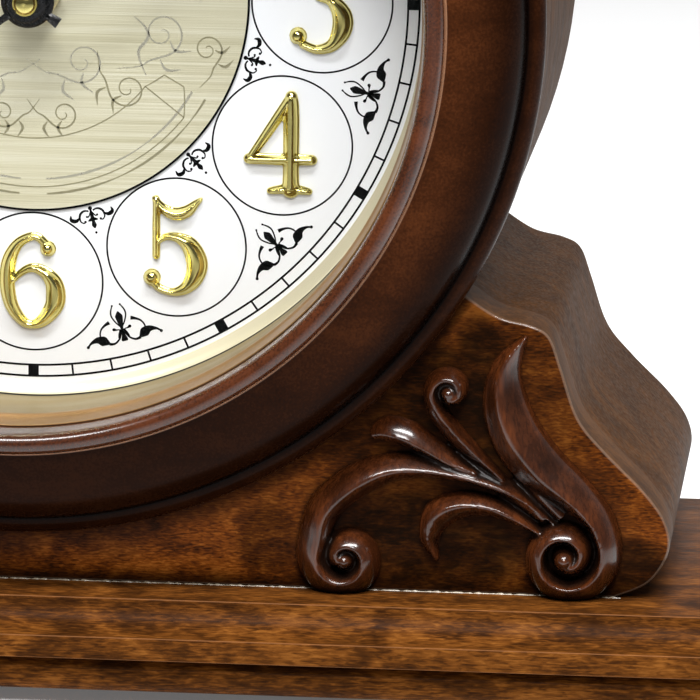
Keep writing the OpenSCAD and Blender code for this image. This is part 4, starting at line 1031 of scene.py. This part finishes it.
INNER_FLEUR = [
    [(0.58, 0.74, 0.14), (1.3, 0.44, 0.16), (2.15, 0.51, 0.2), (3.02, 1.14, 0.22), (3.34, 2.14, 0.18),
     (3.23, 3.02, 0.12), (2.63, 3.57, 0.1), (2.2, 3.5, 0.1)],
    (2.11, 3.31, 0.34),
    [(3.39, 1.95, 0.12), (4.34, 2.53, 0.36), (5.33, 2.28, 0.42), (5.67, 1.72, 0.3), (5.46, 0.81, 0.05)],
    [(0.1, 0.9, 0.1), (0.45, 1.49, 0.12), (0.93, 2.14, 0.1), (1.3, 2.2, 0.1)],
    (1.4, 2.07, 0.3),
    [(0.1, 2.9, 0.3), (0.7, 3.1, 0.28), (1.33, 3.29, 0.06)],
]


def fleurs(name, radius, middle, motif):
    """Twelve printed flourishes between the numeral circles, each a middle and two mirrored sides."""
    one = Shells()
    draw(one, middle)
    both_sides(one, motif)
    shells = Shells()
    for k in range(12):
        shells.join(one.turned(15 + 30 * k, radius))
    ink_piece(name, shells)


minute_track()
numeral_circles()
fleurs("outer_fleurs", 91.0,
       [[(0, -4.6, 0.06), (0, -3.9, 0.5), (0, -3.2, 0.8), (0, -1.8, 0.62), (0, 0, 0.3), (0, 1.6, 0.34),
         (0, 3.1, 0.7), (0, 3.6, 0.5)], (0, 0.9, 0.5)], OUTER_FLEUR)
fleurs("inner_fleurs", 58.0,
       [[(0, 0.3, 0.16), (0, 1.6, 0.3), (0, 2.8, 0.4), (0, 3.6, 0.3), (0, 4.63, 0.5), (0, 5.5, 0.06)],
        (0, 0, 0.55), (0, 6.66, 0.34)], INNER_FLEUR)


# ---- engraved centre disc ----

def scroll(shells, x, z, turn, hand, size, thin=0.16):
    """A tendril that winds into a spiral, with two small leaves on its back."""
    rows = spiral(0, 0, (1.0, 0.12), (200, 760), (thin * 1.6, thin * 0.8), n=26)
    lead = [(-2.3, 0.9, thin * 0.5), (-1.7, 0.1, thin), (-1.25, -0.15, thin * 1.4)]
    leaf = [(-1.0, -0.5, thin * 0.6), (-1.25, -0.95, thin * 2.6), (-0.9, -1.5, thin * 0.5)]
    c, s = cos(radians(turn)), sin(radians(turn))
    for part in (lead + rows[1:], leaf, [(px + 0.9, pz + 0.05, w) for px, pz, w in leaf]):
        path = curve([(x + hand * size * (px * c - pz * s), z + size * (px * s + pz * c), w)
                      for px, pz, w in part], 3)
        shells.ribbon(path, ENGRAVED_F)


# The scrolls on the disc's right half, pale and dark by turns: x, z, turn in degrees, size
SCROLLS = [(13, -17, 20, 6.0), (25, -24, -30, 5.2), (34, -9, 60, 6.2), (46, -13, 100, 4.2),
           (18, 14, 200, 6.2), (31, 17, 150, 5.4), (10, 33, 240, 5.6), (26, 36, 170, 4.6),
           (44, 10, 110, 4.4), (8, -31, 0, 4.2)]


def engraving():
    """Symmetrical scrollwork and an empty ribbon round the lower half of the centre disc."""
    pale, dark = Shells(), Shells()
    for hand in (1, -1):
        for k, (x, z, turn, size) in enumerate(SCROLLS):
            scroll(dark if k % 2 else pale, hand * x, z, turn, hand, size)
        for a0, r0, a1, r1 in ((150, 20, 100, 33), (60, 24, 20, 36), (-10, 27, -34, 36)):
            rows = []
            for t in np.linspace(0, 1, 12):
                a = radians(a0 + (a1 - a0) * t)
                r = r0 + (r1 - r0) * t + 2.2 * sin(2 * pi * t)
                rows.append((hand * r * cos(a), r * sin(a), 0.12 + 0.3 * sin(pi * t)))
            (dark if a0 == 60 else pale).ribbon(curve(rows, 4), ENGRAVED_F)
        for r, k in ((52.5, 7), (48.5, 5)):
            rows = [(hand * r * sin(radians(t)), -r * cos(radians(t)),
                     0.12 + 0.22 * abs(sin(radians(t * k)))) for t in np.linspace(4, 60, 30)]
            (pale if k == 5 else dark).ribbon(curve(rows, 2), ENGRAVED_F)
    for r in (37.6, 50.6):
        rows = [(r * sin(t), -r * cos(t), 0.16) for t in np.radians(np.linspace(-52, 52, 70))]
        dark.ribbon(rows, RIBBON_F)
    for hand in (1, -1):
        for r0, r1, t0, t1 in ((37.6, 50.6, 52, 52), (50.6, 46.0, 52, 60), (37.6, 40.0, 52, 60),
                               (46.0, 40.0, 60, 60)):
            rows = [(hand * (r0 + (r1 - r0) * k) * sin(radians(t0 + (t1 - t0) * k)),
                     -(r0 + (r1 - r0) * k) * cos(radians(t0 + (t1 - t0) * k)), 0.16)
                    for k in np.linspace(0, 1, 6)]
            dark.ribbon(rows, RIBBON_F)
    plane = low("dial_disc").y
    piece("engraving_pale", pale, plane, PALE_LINE, body="case")
    piece("engraving_dark", dark, plane, DARK_LINE, body="case")


engraving()


# ---- hands ----

def hand(node, length, width, hub, bore, angle):
    """A serpentine hand: ridged stem, pierced scrolls, spear tip and a drilled hub."""
    thick = high(node).y - low(node).y

    def ridge(row):
        w = row[2]
        return [(w, 0.0), (w, thick * 0.45), (w * 0.3, thick), (-w * 0.3, thick), (-w, thick * 0.45),
                (-w, 0.0)]

    shells = Shells()
    for steps, rows in (
            (4, [(-0.16 * length, 0.42 * width), (-0.1 * length, 0.3 * width), (-hub, 0.34 * width)]),
            (5, [(hub, 0.36 * width), (0.3 * length, 0.3 * width), (0.52 * length, 0.34 * width)]),
            (5, [(0.72 * length, 0.34 * width), (0.8 * length, 0.42 * width), (0.9 * length, 0.26 * width),
                 (length, 0.06)])):
        shells.sweep(curve([(0, z, w) for z, w in rows], steps), ridge)
    for w in (width, -width):
        lobe = [(0, 0.51 * length, 0.2), (w, 0.55 * length, 0.26 * width),
                (w * 1.55, 0.61 * length, 0.3 * width), (w * 1.1, 0.68 * length, 0.27 * width),
                (0, 0.74 * length, 0.2)]
        shells.sweep(curve(lobe, 7), ridge)
        shells.sweep(curve([(0, 0.63 * length, 0.3), (w * 0.5, 0.6 * length, 0.14 * width),
                            (w * 0.45, 0.56 * length, 0.12 * width), (0, 0.53 * length, 0.3)], 6), ridge)
    shells.lathe([(bore, 0.0), (hub, 0.0), (hub, thick * 0.5), (hub - 0.5, thick), (bore + 0.4, thick),
                  (bore, thick * 0.7)], 64)
    piece("finished_" + node, shells.turned(angle, 0), high(node).y, LOOKS["hand_black"], node, sharp=25)


def clock_angle(node):
    """Where a hand points at rest, in degrees clockwise from twelve, from its farthest vertex."""
    tip = max(((v.co.x / MM, v.co.z / MM - DIAL_Z) for v in NODES[node].data.vertices),
              key=lambda p: hypot(*p))
    return degrees(atan2(*tip)), hypot(*tip)


for node_name, width, hub, bore in (("hour_hand", 3.6, 7.0, 3.0), ("minute_hand", 3.0, 5.4, 1.7)):
    points_to, reach = clock_angle(node_name)
    hand(node_name, reach, width, hub, bore, points_to)


# ---- floor, light and camera ----

# The photograph's viewpoint in metres, its turn, rise and roll in degrees, and its lens
VIEWPOINT = (0.2369, -1.5935, 0.4054)
VIEW_ANGLES = (5.562, 11.442, 0.566)
LENS = 314.0

def floor():
    """A pale, wide studio floor, darker in front of the clock for deep reflections in the wood."""
    mesh = bpy.data.meshes.new("studio_floor")
    half = 14.0
    corners = [(-half, -half, 0), (half, -half, 0), (half, half, 0), (-half, half, 0)]
    mesh.from_pydata(corners, [], [[0, 1, 2, 3]])
    f = Finish("studio_paper", 0.8)
    cloud = f.tones(f.noise(400, 2), [(0.3, (240, 240, 240)), (0.7, (246, 246, 246))])
    f.color(f.mix(f.span(f.axis("Y"), -0.45, 0.02), linear((120, 120, 122)), cloud))
    f.surface.inputs["Emission Color"].default_value = (1, 1, 1, 1)
    f.surface.inputs["Emission Strength"].default_value = 0.12
    mesh.materials.append(f.made)
    linked("studio_floor", mesh)


def softbox(name, place, target, width, height, power):
    light = bpy.data.lights.new(name, "AREA")
    light.shape = "RECTANGLE"
    light.size, light.size_y, light.energy = width, height, power
    obj = linked(name, light)
    obj.location = place
    obj.rotation_mode = "QUATERNION"
    obj.rotation_quaternion = (Vector(target) - Vector(place)).to_track_quat("-Z", "Y")


def surroundings():
    """White behind and above the clock, dimmer in front of it."""
    world = bpy.data.worlds.new("studio")
    world.use_nodes = True
    tree = world.node_tree
    back = tree.nodes["Background"]
    way = tree.nodes.new("ShaderNodeTexCoord")
    split = tree.nodes.new("ShaderNodeSeparateXYZ")
    tree.links.new(way.outputs["Generated"], split.inputs[0])
    ramp = tree.nodes.new("ShaderNodeValToRGB")
    spread = tree.nodes.new("ShaderNodeMapRange")
    for socket, value in zip(spread.inputs[1:5], (-1.0, 1.0, 0.0, 1.0)):
        socket.default_value = value
    tree.links.new(split.outputs["Y"], spread.inputs[0])
    tree.links.new(spread.outputs[0], ramp.inputs["Fac"])
    ramp.color_ramp.elements[0].position = 0.42
    ramp.color_ramp.elements[0].color = (0.15, 0.15, 0.155, 1)
    ramp.color_ramp.elements[1].position = 0.88
    ramp.color_ramp.elements[1].color = (1, 1, 1, 1)
    tree.links.new(ramp.outputs["Color"], back.inputs["Color"])
    back.inputs["Strength"].default_value = 0.9
    bpy.context.scene.world = world


def camera():
    """The photograph's close view, from slightly above and to the right."""
    turn, rise, roll = (radians(a) for a in VIEW_ANGLES)
    ahead = Vector((-sin(turn) * cos(rise), cos(turn) * cos(rise), -sin(rise)))
    right = ahead.cross(Vector((0, 0, 1))).normalized()
    up = right.cross(ahead)
    across = cos(roll) * right + sin(roll) * up
    above = -sin(roll) * right + cos(roll) * up
    data = bpy.data.cameras.new("camera")
    data.lens, data.sensor_width = LENS, 36.0
    data.clip_start, data.clip_end = 0.1, 30.0
    obj = linked("camera", data)
    obj.matrix_world = Matrix.Translation(VIEWPOINT) @ Matrix((across, above, -ahead)).transposed().to_4x4()
    bpy.context.scene.camera = obj


floor()
surroundings()
softbox("overhead_strip", (0.1, -0.62, 1.35), (0.0, -0.02, 0.15), 1.4, 0.16, 41)
softbox("front_box", (0.32, -1.5, 1.5), (0.0, 0.0, 0.15), 0.7, 0.5, 33)
camera()
bpy.context.scene.view_settings.view_transform = "Standard"
